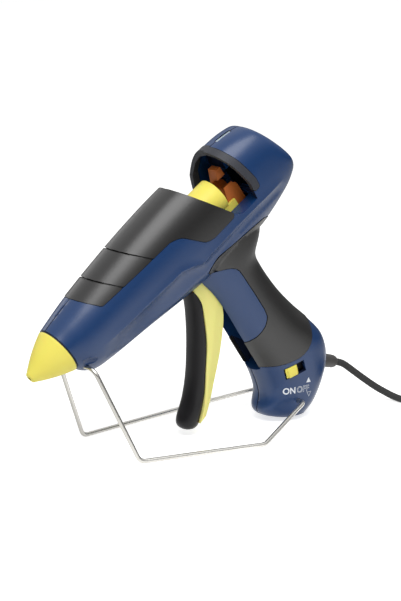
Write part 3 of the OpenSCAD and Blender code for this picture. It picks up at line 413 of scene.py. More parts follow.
def eased(mesh: BMesh, width: float, turn: float = 40.0, segments: int = 2) -> None:
    """Joins flat faces again and rounds the sharp edges of a mesh.

    Args:
        mesh: The mesh.
        width: Width of the rounding in metres.
        turn: Edges that turn by more degrees than this are rounded.
        segments: Faces across the rounding.
    """
    bmesh.ops.dissolve_limit(mesh, angle_limit=math.radians(FLAT), use_dissolve_boundaries=False,
                             verts=mesh.verts[:], edges=mesh.edges[:], delimit=set())
    edges = [e for e in mesh.edges if len(e.link_faces) == 2
             and e.calc_face_angle(0.0) > math.radians(turn) and e.calc_length() > width * ROOM]
    bevelled(mesh, edges, width, segments)


def spun(profile: Sequence[Pair], place: Matrix, steps: int) -> BMesh:
    """Turns a closed profile about the x axis.

    Args:
        profile: Points along the axis and out from it, in the place's units.
        place: Where the axis lies.
        steps: Steps of the turn.

    Returns:
        The mesh, in place.
    """
    mesh = bmesh.new()
    corners = [mesh.verts.new((x, 0.0, r)) for x, r in profile]
    rim = [mesh.edges.new((a, b)) for a, b in zip(corners, corners[1:] + corners[:1])]
    bmesh.ops.spin(mesh, geom=corners + rim, cent=(0, 0, 0), axis=(1, 0, 0), dvec=(0, 0, 0),
                   angle=2 * math.pi, steps=steps, use_merge=True)
    bmesh.ops.remove_doubles(mesh, verts=mesh.verts[:], dist=TURNED_WELD)
    bmesh.ops.transform(mesh, matrix=place, verts=mesh.verts[:])
    bmesh.ops.recalc_face_normals(mesh, faces=mesh.faces[:])
    return mesh


def swept(name: str, points: Sequence[Vector], radius: float, smooth: bool) -> Object:
    """A round bar along a line, as a curve of one open spline.

    Args:
        name: The curve's name.
        points: The line's points in metres.
        radius: The bar's radius in metres.
        smooth: Whether the line bends smoothly at its points.

    Returns:
        The curve.
    """
    data = bpy.data.curves.new(name, "CURVE")
    data.dimensions = "3D"
    data.resolution_u = data.render_resolution_u = 3 if smooth else 1
    data.bevel_depth, data.bevel_resolution = radius, 4
    data.use_fill_caps = True
    line = data.splines.new("BEZIER" if smooth else "POLY")
    knots = line.bezier_points if smooth else line.points
    knots.add(len(points) - 1)
    for knot, p in zip(knots, points):
        knot.co = p if smooth else (*p, 1.0)
        if smooth:
            knot.handle_left_type = knot.handle_right_type = "AUTO"
    return linked(name, data)


def as_mesh(curve: Object) -> BMesh:
    """Turns a curve or text object into a mesh in its place, and removes the object.

    Args:
        curve: The object.

    Returns:
        The mesh in metres.
    """
    bpy.context.view_layer.update()
    shape = curve.evaluated_get(bpy.context.evaluated_depsgraph_get())
    data = bpy.data.meshes.new_from_object(shape)
    mesh = bmesh.new()
    mesh.from_mesh(data)
    bmesh.ops.transform(mesh, matrix=curve.matrix_world, verts=mesh.verts[:])
    bmesh.ops.remove_doubles(mesh, verts=mesh.verts[:], dist=BAR_WELD)
    bpy.data.meshes.remove(data)
    bpy.data.objects.remove(curve)
    return mesh


@dataclass
class Form:
    """A freeform body, lofted through sections.

    A section is a line from (first x, first z) to (second x, second z), a half width and a squareness.
    """

    sections: list[tuple[float, float, float, float, float, float]]
    around: int = 96
    steps: int = 8

    def tree(self) -> BVHTree:
        """The finely lofted surface, to lay skins on.

        Returns:
            The surface's search tree, in metres as the applicator stands.
        """
        mesh = bmesh.new()
        rings = []
        for section in through([Vector(s) for s in self.sections], self.steps):
            ring = bmesh.ops.create_circle(mesh, cap_ends=False, segments=self.around, radius=1.0)["verts"]
            for i, corner in enumerate(ring):
                corner.co = self.point(section, 2 * math.pi * i / self.around)
            rings.append(list({e for v in ring for e in v.link_edges}))
        for first, second in zip(rings, rings[1:]):
            bmesh.ops.bridge_loops(mesh, edges=first + second)
        bmesh.ops.transform(mesh, matrix=STANCE.matrix, verts=mesh.verts[:])
        bmesh.ops.recalc_face_normals(mesh, faces=mesh.faces[:])
        found = BVHTree.FromBMesh(mesh)
        mesh.free()
        return found

    @staticmethod
    def point(section: Vector, angle: float) -> Vector:
        """A point of a section's rounded outline.

        Args:
            section: The section's six numbers.
            angle: Angle around the section, from its first line.

        Returns:
            The point in millimetres along the barrel.
        """
        x0, z0, x1, z1, half, square = section
        share = math.copysign(abs(math.cos(angle)) ** (2 / square), math.cos(angle)) / 2
        wide = half * math.copysign(abs(math.sin(angle)) ** (2 / square), math.sin(angle))
        return Vector(((x0 + x1) / 2 + share * (x0 - x1), wide, (z0 + z1) / 2 + share * (z0 - z1)))


@dataclass
class Skin:
    """Lays the outer faces of CAD copies smoothly on the forms that they were cut from."""

    forms: list[BVHTree]
    proud: float = 0.0
    reach: float = 0.00075
    longest: float = 0.0026
    parting: bool = False
    crease: Sequence[Pair] = ()
    facing: float = 0.6
    turned: float = 0.55
    slack: float = 1.3
    finest: float = 0.00004
    divisions: int = 8
    mendings: int = 4
    seam_rounds: int = 4
    facet: Pair = (16.0, 2.3)
    facet_rear: Pair = (8.0, 1.05)
    facet_turn: Pair = (116.0, 136.0)
    ridge: Pair = (6.0, 0.5)
    run_in: float = 16.0
    run_out: float = 8.0
    crease_y: float = 8.0
    crease_band: float = 14.0
    fine_band: float = 3.0
    fine_share: float = 0.45

    def nearest(self, at: Vector, form: int) -> tuple[Vector, Vector, float]:
        """The nearest point of a form, raised by the skin's height.

        Args:
            at: A point in metres.
            form: The form's number, from 1.

        Returns:
            The point, the form's normal there, and the distance.
        """
        spot, normal, _, _ = self.forms[form - 1].find_nearest(at)
        spot = spot + normal * self.proud
        return spot, normal, (at - spot).length

    def form_of(self, face: BMFace) -> int:
        """The form that a face was cut from.

        Args:
            face: The face.

        Returns:
            The form's number from 1, or 0 for a face that is no outer one.
        """
        middle, best = face.calc_center_median(), (self.reach, 0)
        for form in range(1, len(self.forms) + 1):
            _, normal, far = self.nearest(middle, form)
            if far < best[0] and normal.dot(face.normal) > self.facing and all(
                    self.nearest(v.co, form)[2] < self.reach * self.slack for v in face.verts):
                best = (far, form)
        return best[1]

    def lay(self, mesh: BMesh) -> None:
        """Divides the outer faces of a mesh finely and lays them on the forms.

        Args:
            mesh: The mesh, a merged copy of a CAD node.
        """
        mesh.normal_update()
        outer = mesh.faces.layers.int.new("outer")
        for face in mesh.faces:
            face[outer] = self.form_of(face)
        if self.crease:
            self.score(mesh, outer)
        for side in (-1, 1) if self.parting else ():
            skin = [f for f in mesh.faces if f[outer]]
            self.split(mesh, skin, Vector((0.0, side * GROOVE, 0.0)), Vector((0.0, 1.0, 0.0)))
        for _ in range(self.divisions):
            long = {e for f in mesh.faces if f[outer] for e in f.edges if e.calc_length() > self.limit(e)}
            if not long:
                break
            bmesh.ops.subdivide_edges(mesh, edges=list(long), cuts=1)
            triangulate(mesh)
        bmesh.ops.dissolve_degenerate(mesh, dist=self.finest, edges=mesh.edges[:])
        triangulate(mesh)
        for corner in mesh.verts:
            on = sorted({f[outer] for f in corner.link_faces if f[outer]})
            free = all(f[outer] or abs(f.normal.y) > ALONG for f in corner.link_faces)
            if on:
                self.settle(corner, on, self.parting and free)
        self.mend(mesh, outer)

    def mend(self, mesh: BMesh, outer: BMLayerItem) -> None:
        """Closes slivers that turned over as they were laid.

        Args:
            mesh: The mesh.
            outer: Marks the outer faces with their form.
        """
        for _ in range(self.mendings):
            mesh.normal_update()
            turned = [f for f in mesh.faces if f[outer]
                      and self.nearest(f.calc_center_median(), f[outer])[1].dot(f.normal) < self.turned]
            if not turned:
                break
            log.info("slivers closed: %d", len(turned))
            short = {min(f.edges, key=lambda e: e.calc_length()) for f in turned}
            bmesh.ops.collapse(mesh, edges=list(short), uvs=False)

    def settle(self, corner: BMVert, on: list[int], grooved: bool) -> None:
        """Lays a corner on its form, or where two forms meet.

        Args:
            corner: The corner.
            on: The numbers of the forms that its faces lie on.
            grooved: Whether it sinks on the parting line.
        """
        spot, flat = corner.co.copy(), abs(corner.co.y) < NIL
        for form in on * (1 if len(on) == 1 else self.seam_rounds):
            spot, normal, _ = self.nearest(spot, form)
        lift = self.crease_lift(spot) if on == [1] else 0.0
        if grooved and flat:
            lift -= GROOVE
        if (spot - corner.co).length < 2 * self.reach:
            corner.co = spot + normal * lift
            if flat:
                corner.co.y = 0.0

    def limit(self, edge: BMEdge) -> float:
        """The longest that an outer edge may stay, shorter along the crease.

        Args:
            edge: The edge.

        Returns:
            The length in metres.
        """
        above = self.over_crease(BACK @ ((edge.verts[0].co + edge.verts[1].co) / 2))
        near = above is not None and abs(above) < self.fine_band
        return self.longest * (self.fine_share if near else 1.0)

    @staticmethod
    def split(mesh: BMesh, faces: list[BMFace], at: Vector, normal: Vector) -> None:
        """Cuts an edge into faces along the plane through a point with a normal."""
        geometry = {v for f in faces for v in f.verts} | {e for f in faces for e in f.edges} | set(faces)
        bmesh.ops.bisect_plane(mesh, geom=list(geometry), dist=NIL / 4, plane_co=at, plane_no=normal)

    def score(self, mesh: BMesh, outer: BMLayerItem) -> None:
        """Cuts the line of the crease into the outer faces.

        Args:
            mesh: The mesh.
            outer: Marks the outer faces.
        """
        for (u0, w0), (u1, w1) in zip(self.crease, self.crease[1:]):
            a, b = Vector((u0, 0.0, w0)), Vector((u1, 0.0, w1))
            normal = Vector((w0 - w1, 0.0, u1 - u0)).normalized()
            near = []
            for face in mesh.faces:
                corners = [BACK @ v.co for v in face.verts]
                if face[outer] and max(c.x for c in corners) > u0 and min(c.x for c in corners) < u1 \
                        and min(abs((c - a).dot(normal)) for c in corners) < self.crease_band:
                    near.append(face)
            if near:
                turned = (STANCE.matrix.to_3x3() @ normal).normalized()
                self.split(mesh, near, STANCE.matrix @ ((a + b) / 2), turned)

    def crease_lift(self, at: Vector) -> float:
        """How far the crease raises or sinks the skin at a point.

        Args:
            at: The point in metres.

        Returns:
            The lift in metres.
        """
        p = BACK @ at
        above = self.over_crease(p)
        if above is None:
            return 0.0
        ends = min(1.0, (p.x - self.crease[0][0]) / self.run_in, (self.crease[-1][0] - p.x) / self.run_out)
        begin, end = self.facet_turn
        share = min(max((p.x - begin) / (end - begin), 0.0), 1.0)
        span, depth = (a + (b - a) * share for a, b in zip(self.facet, self.facet_rear))
        reach, height = self.ridge
        if above >= 0:
            return height * MM * max(0.0, 1 - above / reach) ** 2 * ends
        t = min(-above / span, 1.0)
        return MM * (height * (1 - t) - depth * 4 * t * (1 - t)) * ends

    def over_crease(self, p: Vector) -> Optional[float]:
        """How far a point lies above the crease.

        Args:
            p: The point in millimetres along the barrel.

        Returns:
            The height above the crease, or None beside its ends.
        """
        if abs(p.y) < self.crease_y:
            return None
        for (u0, w0), (u1, w1) in zip(self.crease, self.crease[1:]):
            if u0 <= p.x <= u1:
                return p.z - (w0 + (w1 - w0) * (p.x - u0) / (u1 - u0))
        return None


@dataclass
class Housing:
    """The moulded half shells with their soft grips, lips and the light bar."""

    nose_r: float = 16.9
    nose_x: float = 27.0
    half_w: float = 23.4
    top: float = 29.0
    belly: float = 38.0
    tail_x: float = 234.0
    handle_half_w: float = 17.8
    grip_proud: float = 0.35
    lens_lean: float = 8.0
    lens_raise: float = 0.5
    lens_cap: float = 1.0
    lens_edge: float = 0.0005
    wall_far: float = 0.08
    crease: tuple[Pair, ...] = (
        (44.0, -9.6), (117.0, -10.0), (124.0, -12.5), (134.0, -17.5), (142.0, -16.5), (176.0, -15.6),
        (216.0, -16.8))
    forms: list[BVHTree] = field(default_factory=list)

    def barrel(self) -> Form:
        """The barrel's form, from the nose to the tail.

        Returns:
            The form.
        """
        n, x, h, t, b, e = self.nose_r, self.nose_x, self.half_w, self.top, self.belly, self.tail_x
        return Form([
            (x, n, x, -n, n, 2.0), (x + 4, n + 0.8, x + 3, -n - 4.5, n + 1.2, 2.0),
            (x + 14, n + 2.4, x + 10, -n - 9.2, n + 3.2, 2.1), (55, t - 7.6, 52, -b + 9.6, h - 1.9, 2.2),
            (82, t - 4.4, 80, -b + 6.8, h - 0.7, 2.3), (112, t - 1.6, 112, -b + 3, h - 0.1, 2.4),
            (145, t + 0.2, 145, -b, h, 2.4), (184, t - 0.2, 188, -b, h - 0.6, 2.4),
            (e - 32, t - 1.2, e - 18, -b + 6.5, h - 1, 2.5), (e - 21, t - 3, e - 5, -b + 12.5, h - 1.8, 2.5),
            (e - 15.5, t - 5, e - 0.5, -b + 17.5, h - 3.6, 2.5), (e - 13, t - 9, e, -b + 22.5, h - 6.8, 2.4)])

    def handle(self) -> Form:
        """The handle's form, from the barrel to the base.

        Returns:
            The form.
        """
        f, h, d = STANCE.handle_front, self.handle_half_w, STANCE.base_depth
        r = f + STANCE.handle_depth
        return Form([
            (126, -20, 202, -16, h + 1.2, 2.3), (f - 2.5, -36, r + 14, -36, h + 1.2, 2.3),
            (f + 0.3, -48, r + 0.5, -47, h + 0.7, 2.3), (f + 1, -62, r - 2, -60, h + 0.2, 2.3),
            (f, -82, r - 1, -82, h, 2.3), (f - 1, -d * 0.6, r + 2.5, -d * 0.6 + 1, h, 2.3),
            (f - 2, -d + 51, r + 7, -d + 52, h, 2.4), (f - 6.5, -d + 35, r + 9.5, -d + 36, h - 0.1, 2.5),
            (f - 14.5, -d + 26.5, r + 4.5, -d + 21.5, h - 0.3, 2.6),
            (f - 15.2, -d + 22.5, r - 6.5, -d + 11.5, h - 0.5, 2.6),
            (f - 13.7, -d + 19.5, r - 21.5, -d + 3.5, h - 1, 2.5),
            (f + STANCE.base_toe[0], -d + STANCE.base_toe[1], r - 33.5, -d, h - 3.5, 2.4)])

    def build(self) -> None:
        """Builds the shells, grips, lips and the light bar."""
        self.forms = [self.barrel().tree(), self.handle().tree()]
        walls = self.walls()
        for side in Side:
            name = side.value
            shell = node_copy(f"{name}_housing")
            Skin(self.forms, parting=True, crease=self.crease).lay(shell)
            self.paint_shade(shell, walls)
            # Inner faces and the parting groove get painted shade
            settled(f"{name}_shell", shell, Finishes.BLUE, Body.HOUSING, [f"{name}_housing"],
                    inner=Finishes.PAINTED_SHADE)
            for part, forms, reach, finish in (("barrel_grip", self.forms, 0.0006, Finishes.GRIP),
                                               ("handle_grip", self.forms, 0.0012, Finishes.GRIP),
                                               ("bay_lip", self.forms[:1], 0.0006, Finishes.LIP)):
                soft = node_copy(f"{part}_{name}")
                Skin(forms, self.grip_proud * MM, reach).lay(soft)
                settled(f"{part}_{name}_skin", soft, finish, Body.HOUSING, [f"{part}_{name}"])
        self.build_lens()

    @staticmethod
    def walls() -> BVHTree:
        """Both half shells together.

        Returns:
            Their search tree.
        """
        both = node_copy("left_housing")
        both.from_mesh(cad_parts["right_housing"].data)
        found = BVHTree.FromBMesh(both)
        both.free()
        return found

    def paint_shade(self, shell: BMesh, walls: BVHTree) -> None:
        """Marks the faces inside a shell, which look onto another wall, and its parting groove, for painted
        shade.

        Args:
            shell: The shell.
            walls: Both half shells together.
        """
        shell.normal_update()
        outer = shell.faces.layers.int["outer"]
        for face in shell.faces:
            middle = face.calc_center_median()
            spot, normal, _, _ = walls.ray_cast(middle + face.normal * NIL, face.normal, self.wall_far)
            inside = spot is not None and normal.dot(face.normal) < 0
            # Painted shade: inner faces that look onto another wall and the groove's faces take the dark
            # finish
            dark = abs(middle.y) < GROOVE if face[outer] else inside
            face.material_index = 1 if dark else 0

    def build_lens(self) -> None:
        """Builds the light bar on the head, with rounded edges."""
        bar = node_copy("indicator_lens")
        lean = math.radians(self.lens_lean)
        up = Vector((math.sin(lean), 0.0, math.cos(lean)))
        heights = {corner: (BACK @ corner.co).dot(up) for corner in bar.verts}
        top = max(heights.values()) - self.lens_cap
        upper = [corner for corner, height in heights.items() if height > top]
        bmesh.ops.translate(bar, vec=STANCE.matrix.to_3x3() @ up * self.lens_raise, verts=upper)
        eased(bar, self.lens_edge, segments=3)
        settled("light_bar", bar, Finishes.LENS, Body.HOUSING, ["indicator_lens"])


@dataclass
class Nose:
    """The heat-proof nozzle cover."""

    housing: Housing
    outlet_r: float = 1.55
    hex_r: float = 8.15
    around: int = 96

    def build(self) -> None:
        """Builds the cover, a slightly swelling cone with a small flat tip."""
        tip, back, rim = STANCE.cover_tip_r, self.housing.nose_x - 1.0, self.housing.nose_r - 0.5
        swell = through([Vector((1.3, tip)), Vector((7, 7.6)), Vector((13, 10.95)), Vector((19, 13.8)),
                         Vector((back - 1.6, rim - 0.35))], 5)
        outside = [(0.0, self.outlet_r), (0.0, tip - 1.3), (0.25, tip - 0.7), (0.7, tip - 0.25)]
        outside += [(p.x, p.y) for p in swell]
        outside += [(back - 0.7, rim - 0.05), (back - 0.3, rim), (back, rim - 0.3)]
        inside = [(back, self.hex_r), (20.0, self.hex_r), (18.0, 7.15), (0.4, tip - 1.35),
                  (0.4, self.outlet_r)]
        cover = spun(outside + inside, STANCE.matrix, self.around)
        settled("nozzle_cover_cone", cover, Finishes.YELLOW, Body.HOUSING, ["nozzle_cover"])


@dataclass
class Feed:
    """The sliding feed tube and the gripper that bites on the glue stick."""

    edge: float = 0.00035
    rim_edge: float = 0.002
    square: Pair = (0.05, 0.99)
    jaw_turn: float = 35.0

    def rims(self, tube: BMesh) -> list[BMEdge]:
        """The round edges at the tube's ends.

        Args:
            tube: The tube.

        Returns:
            The edges between an end face and the round wall.
        """
        tube.normal_update()
        axis = (STANCE.matrix.to_3x3() @ Vector((1, 0, 0))).normalized()
        found = []
        for edge in tube.edges:
            ends = [abs(face.normal.dot(axis)) for face in edge.link_faces]
            if len(ends) == 2 and min(ends) < self.square[0] and max(ends) > self.square[1] \
                    and edge.calc_length() < self.rim_edge:
                found.append(edge)
        return found

    def build(self) -> None:
        """Builds the tube and the gripper with eased edges."""
        tube = node_copy("feed_tube")
        bevelled(tube, self.rims(tube), self.edge, 2)
        settled("feed_tube_body", tube, Finishes.YELLOW, Body.FEED, ["feed_tube"], CRISP)
        jaw = node_copy("stick_gripper")
        eased(jaw, self.edge, self.jaw_turn)
        settled("gripper_jaw", jaw, Finishes.ORANGE, Body.GRIPPER, ["stick_gripper"], CRISP)


@dataclass
class Trigger:
    """The pull lever and its soft pad."""

    width: float = 16.0
    pad_reach: float = 0.0007
    pad_longest: float = 0.002
    lever_edge: float = 0.0005
    lever_turn: float = 35.0

    def form(self) -> Form:
        """The pad's form, from its root to its tip.

        Returns:
            The form.
        """
        h = self.width / 2
        return Form([
            (120, -37.5, 127, -37.5, h - 0.6, 2.2), (115, -48.5, 126, -47, h, 2.4),
            (106.5, -62, 121, -57, h, 2.4), (97, -74.5, 112, -74, h, 2.4), (87, -86.5, 101, -88, h, 2.4),
            (76, -96.5, 92, -99.5, h, 2.4), (65.5, -103.5, 84, -107, h, 2.4),
            (62.5, -107.5, 78, -112, h - 0.4, 2.4), (63.5, -111.5, 74.5, -115, h - 1.6, 2.3),
            (66.5, -114.5, 71.5, -116, h - 4, 2.2)], around=64, steps=6)

    def build(self) -> None:
        """Builds the lever and its pad."""
        pad = node_copy("trigger_pad")
        Skin([self.form().tree()], 0.0, self.pad_reach, self.pad_longest).lay(pad)
        settled("trigger_pad_skin", pad, Finishes.TRIGGER_PAD, Body.TRIGGER, ["trigger_pad"])
        lever = node_copy("trigger")
        eased(lever, self.lever_edge, self.lever_turn)
        settled("trigger_lever", lever, Finishes.PALE_YELLOW, Body.TRIGGER, ["trigger"],
                CRISP)


@dataclass
class Switch:
    """The sliding mains switch and its lettering on the left flank."""

    housing: Housing
    letters_low: float = 20.6
    letters_size: float = 6.106
    on_left: float = 66.4
    off_left: float = 77.0
    mark_r: float = 0.00235
    ahead: float = -0.03
    ink_lift: float = 0.00006
    ink_edge: float = 0.0012
    ink_divisions: int = 3
    knob_edge: float = 0.0005

    def build(self) -> None:
        """Builds the knob and prints the words and marks beside it."""
        knob = node_copy("switch_knob")
        eased(knob, self.knob_edge, segments=3)
        settled("switch_knob_cap", knob, Finishes.YELLOW, Body.SWITCH, ["switch_knob"],
                CRISP)
        self.print_word("ON", self.on_left, swell=0.00017)
        self.print_word("OFF", self.off_left, swell=0.00013, stroke=0.00026)
        self.print_mark("mark_on", middle=(87.1, 27.9), turn=0.0)
        self.print_mark("mark_off", middle=(87.8, 18.7), turn=180.0, stroke=0.0005)

    def print_word(self, word: str, left: float, swell: float, stroke: float = 0.0) -> None:
        """Prints a word on the flank.

        Args:
            word: The word.
            left: Its left end, in millimetres as the applicator stands.
            swell: How far its letters are thickened, in metres.
            stroke: Width of the letters' outlines in metres, or 0 for full letters.
        """
        data = bpy.data.curves.new(f"word_{word}", "FONT")
        data.body = word
        data.size = self.letters_size * MM
        data.offset = swell
        data.resolution_u = 3
        text = linked(f"word_{word}", data)
        text.matrix_world = Matrix.Translation((left * MM, self.ahead, self.letters_low * MM)) \
            @ Matrix.Rotation(math.radians(90), 4, "X")
        self.lay_ink(as_mesh(text), f"word_{word.lower()}", stroke)

    def print_mark(self, name: str, middle: Pair, turn: float, stroke: float = 0.0) -> None:
        """Prints a triangle on the flank.

        Args:
            name: The piece's name.
            middle: Its middle along and above the table, in millimetres.
            turn: How far it is turned from pointing up, in degrees.
            stroke: Width of its outline in metres, or 0 for a full one.
        """
        mesh = bmesh.new()
        bmesh.ops.create_circle(mesh, cap_ends=True, segments=3, radius=self.mark_r)
        place = Matrix.Translation((middle[0] * MM, self.ahead, middle[1] * MM)) \
            @ Matrix.Rotation(math.radians(90), 4, "X") @ Matrix.Rotation(math.radians(turn), 4, "Z")
        bmesh.ops.transform(mesh, matrix=place, verts=mesh.verts[:])
        self.lay_ink(mesh, name, stroke)

    def lay_ink(self, mesh: BMesh, name: str, stroke: float) -> None:
        """Lays a flat print on the left flank.

        Args:
            mesh: The print, in front of the flank; it is used up.
            name: The piece's name.
            stroke: Width of the outline that is left of it in metres, or 0 for all of it.
        """
        if stroke:
            mesh.normal_update()
            rim = bmesh.ops.inset_region(mesh, faces=mesh.faces[:], thickness=stroke, use_boundary=True)
            bmesh.ops.delete(mesh, geom=list(set(mesh.faces) - set(rim["faces"])), context="FACES")
        triangulate(mesh)
        for _ in range(self.ink_divisions):
            long = [e for e in mesh.edges if e.calc_length() > self.ink_edge]
            if long:
                bmesh.ops.subdivide_edges(mesh, edges=long, cuts=1)
                triangulate(mesh)
        for corner in mesh.verts:
            spot, normal, _, _ = self.housing.forms[1].ray_cast(corner.co, Vector((0, 1, 0)))
            if spot is not None:
                corner.co = spot + normal * self.ink_lift
        bmesh.ops.recalc_face_normals(mesh, faces=mesh.faces[:])
        if sum(f.normal.y for f in mesh.faces) > 0:
            bmesh.ops.reverse_faces(mesh, faces=mesh.faces[:])
        settled(name, mesh, Finishes.INK, Body.HOUSING)


@dataclass
class WireStand:
    """The bent wire: its ends in the base, its middle across the nose."""

    housing: Housing
    wire_d: float = 3.0
    bend_r: float = 6.0
    bend_steps: int = 10
    rear_foot_y: float = 51.0
    front_foot_y: float = 35.0
    front_ahead: float = 26.1
    rear_behind: float = 54.0
    base_hole_in: float = 8.0
    base_hole: Pair = (7.5, 18.0)
    nose_hole: Pair = (3.5, 1.5)

    def line(self) -> list[Vector]:
        """The wire's corners.

        Returns:
            The corners in metres.
        """
        (u, w), (along, up), house = self.nose_hole, self.base_hole, self.housing
        nose = STANCE.matrix @ Vector((house.nose_x + u, 0.0, -house.nose_r + w))
        base = STANCE.matrix @ Vector((STANCE.handle_front + along, 0.0, -STANCE.base_depth + up))
        foot, out = self.wire_d / 2 * MM, self.bend_r * MM
        front, rear = nose.x + self.front_ahead * MM, base.x - self.rear_behind * MM
        near = [
            Vector((base.x, -self.base_hole_in * MM, base.z)),
            Vector((base.x, -house.handle_half_w * MM - out, base.z)),
            Vector((rear, -self.rear_foot_y * MM, foot)),
            Vector((front, -self.front_foot_y * MM, foot)),
            Vector((nose.x, -house.nose_r * MM - out, nose.z)),
        ]
        return near + [Vector((p.x, -p.y, p.z)) for p in reversed(near)]

    def build(self) -> None:
        """Builds the wire with round bends."""
        corners, r = self.line(), self.bend_r * MM
        points = [corners[0]]
        for a, b, c in zip(corners, corners[1:], corners[2:]):
            along, on = (b - a).normalized(), (c - b).normalized()
            turn = along.angle(on)
            inward = (on - along * math.cos(turn)).normalized()
            middle = b - along * r * math.tan(turn / 2) + inward * r
            for k in range(self.bend_steps + 1):
                part = turn * k / self.bend_steps
                points.append(middle + r * (math.sin(part) * along - math.cos(part) * inward))
        wire = as_mesh(swept("wire", points + [corners[-1]], self.wire_d / 2 * MM, False))
        settled("bent_wire", wire, Finishes.WIRE, Body.HOUSING, ["wire_stand"])


@dataclass
class Lead:
    """The mains lead: strain relief, free length, coil, tie and plug."""

    cord_d: float = 5.0
    coil_in: float = 19.0
    coil_turns: float = 4.05
    coil_gap: float = 0.6
    coil_rings: int = 24
    tail_turn: float = 0.4
    tie_t: float = 1.0
    tie_w: float = 9.0
    tie_angle: float = 70.0
    tie_gap: float = 0.3
    tie_bend: float = 2.2
    tie_play: float = 0.02
    neck_r: float = 4.0
    boot_r: float = 5.0
    plug_height: float = 14.0
    plug_edge: float = 0.0007
    plug_turn: float = 25.0
    boot_play: float = 0.06
    boot_around: int = 48
    floor_gap: float = 0.3
    coil_ahead: float = 46.6
    coil_left: float = -46.0

    @property
    def pitch(self) -> float:
        """From one turn of the coil to the next."""
        return self.cord_d + self.coil_gap

    @property
    def coil_out(self) -> float:
        """Radius of the coil's outer turn."""
        return self.coil_in + self.coil_turns * self.pitch

    @property
    def low(self) -> float:
        """Height of the coil's lower layer."""
        return self.tie_t + self.cord_d / 2

    def start(self) -> Vector:
        """Where the free lead begins, in millimetres as it stands."""
        return (STANCE.lead_matrix @ Vector((STANCE.boot_len, 0.0, 0.0))) / MM

    def route(self) -> list[Vector]:
        """The lead's line from the strain relief to the plug.

        Returns:
            The line's points in metres.
        """
        s = self.start()
        way = STANCE.lead_matrix.to_3x3() @ Vector((1.0, 0.0, 0.0)) / MM
        floor = self.cord_d / 2 + self.floor_gap
        begin = Vector((s.x + self.coil_ahead, self.coil_left, self.low))
        join = begin + Vector((0.0, 1.0, 0.0))
        free = [s, s + 1.5 * way, s + 3 * way]
        free += [s + Vector(p) for p in ((6.9, -0.2, -2.2), (10.7, -0.9, -4.7), (17.5, -2.7, -10.2),
                                         (22.4, -4.4, -14.2), (27.8, -6.3, -18.5), (33.1, -8.4, -22.5))]
        free += [Vector((s.x + 37.9, -11.3, floor + 3.6)), Vector((s.x + 41.4, -15.6, floor + 1.1)),
                 Vector((s.x + 43.4, -22.4, floor)), Vector((s.x + 45.3, -31.5, self.low - 0.3)),
                 join + Vector((0, 6, 0)), join + Vector((0, 3, 0)), join]
        count = round((2 * self.coil_turns + self.tail_turn) * self.coil_rings)
        middle = Vector((begin.x + self.coil_out, begin.y, 0.0))
        coil = [self.coil_point(middle, i / self.coil_rings) for i in range(count + 1)]
        points = through(free, 2)[:-1] + coil + [coil[-1] + Vector((0.0, self.cord_d, 0.0))]
        return [p * MM for p in points]

    def coil_point(self, middle: Vector, turn: float) -> Vector:
        """A point of the coil: one layer winds in, the next winds out, then the end steps down.

        Args:
            middle: The coil's middle on the table.
            turn: Turns from the coil's beginning.

        Returns:
            The point in millimetres.
        """
        past = max(turn - 2 * self.coil_turns, 0.0) / self.tail_turn
        if turn < self.coil_turns:
            r = self.coil_out - self.pitch * turn
        else:
            r = min(self.coil_in + self.pitch * (turn - self.coil_turns), self.coil_out)
            r += self.pitch * self.climb(past * 2)
        lift = (self.plug_height / 2 - self.low) / self.pitch
        up = self.climb((turn - self.coil_turns) * 2 + 0.5) - self.climb(past * 2 - 0.9)
        up += lift * self.climb(past * 4 - 3)
        angle = math.pi + 2 * math.pi * turn
        return middle + Vector((r * math.cos(angle), r * math.sin(angle), self.low + self.pitch * up))

    @staticmethod
    def climb(share: float) -> float:
        """A soft step from 0 to 1."""
        s = min(max(share, 0.0), 1.0)
        return s * s * (3 - 2 * s)

    def build(self) -> None:
        """Builds the lead and the pieces on it."""
        points = self.route()
        lead = swept("mains_lead", points, self.cord_d / 2 * MM, True)
        lead.data.materials.append(Finishes.LEAD.material())
        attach(lead, Body.HOUSING.value)
        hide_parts("cord", "cord_coil")
        middle = Vector((points[0].x + (self.coil_ahead + self.coil_out) * MM, self.coil_left * MM, 0.0))
        tie = self.build_tie(middle)
        plug = node_copy("plug")
        eased(plug, self.plug_edge, self.plug_turn)
        body = settled("plug_body", plug, Finishes.BLACK, Body.HOUSING, ["plug"], CRISP)
        self.build_boot()

    def build_tie(self, middle: Vector) -> Object:
        """Builds the band around the coil, with rounded corners.

        Args:
            middle: The coil's middle on the table.

        Returns:
            The band.
        """
        t = self.tie_t
        beside = self.cord_d / 2 + self.tie_gap + t
        low, high = self.coil_in - beside, self.coil_out + beside
        top = t + self.cord_d + self.pitch + self.tie_gap + t
        mesh = bmesh.new()
        bmesh.ops.create_cube(mesh, size=1.0)
        bmesh.ops.scale(mesh, vec=(high - low, self.tie_w, top), verts=mesh.verts[:])
        ends = [f for f in mesh.faces if abs(f.normal.y) > ALONG]
        bmesh.ops.delete(mesh, geom=ends, context="FACES_ONLY")
        across = [e for e in mesh.edges if abs((e.verts[0].co - e.verts[1].co).y) > self.tie_w / 2]
        bevelled(mesh, across, self.tie_bend, 5)
        bmesh.ops.recalc_face_normals(mesh, faces=mesh.faces[:])
        if sum(f.normal.dot(f.calc_center_median()) for f in mesh.faces) < 0:
            bmesh.ops.reverse_faces(mesh, faces=mesh.faces[:])
        bmesh.ops.solidify(mesh, geom=mesh.faces[:], thickness=t - self.tie_play)
        bmesh.ops.recalc_face_normals(mesh, faces=mesh.faces[:])
        place = Matrix.Translation(middle) @ Matrix.Rotation(math.radians(self.tie_angle), 4, "Z") \
            @ Matrix.Scale(MM, 4) @ Matrix.Translation(((low + high) / 2, 0.0, top / 2))
        bmesh.ops.transform(mesh, matrix=place, verts=mesh.verts[:])
        return settled("coil_band", mesh, Finishes.SILICONE, Body.HOUSING, ["coil_tie"])

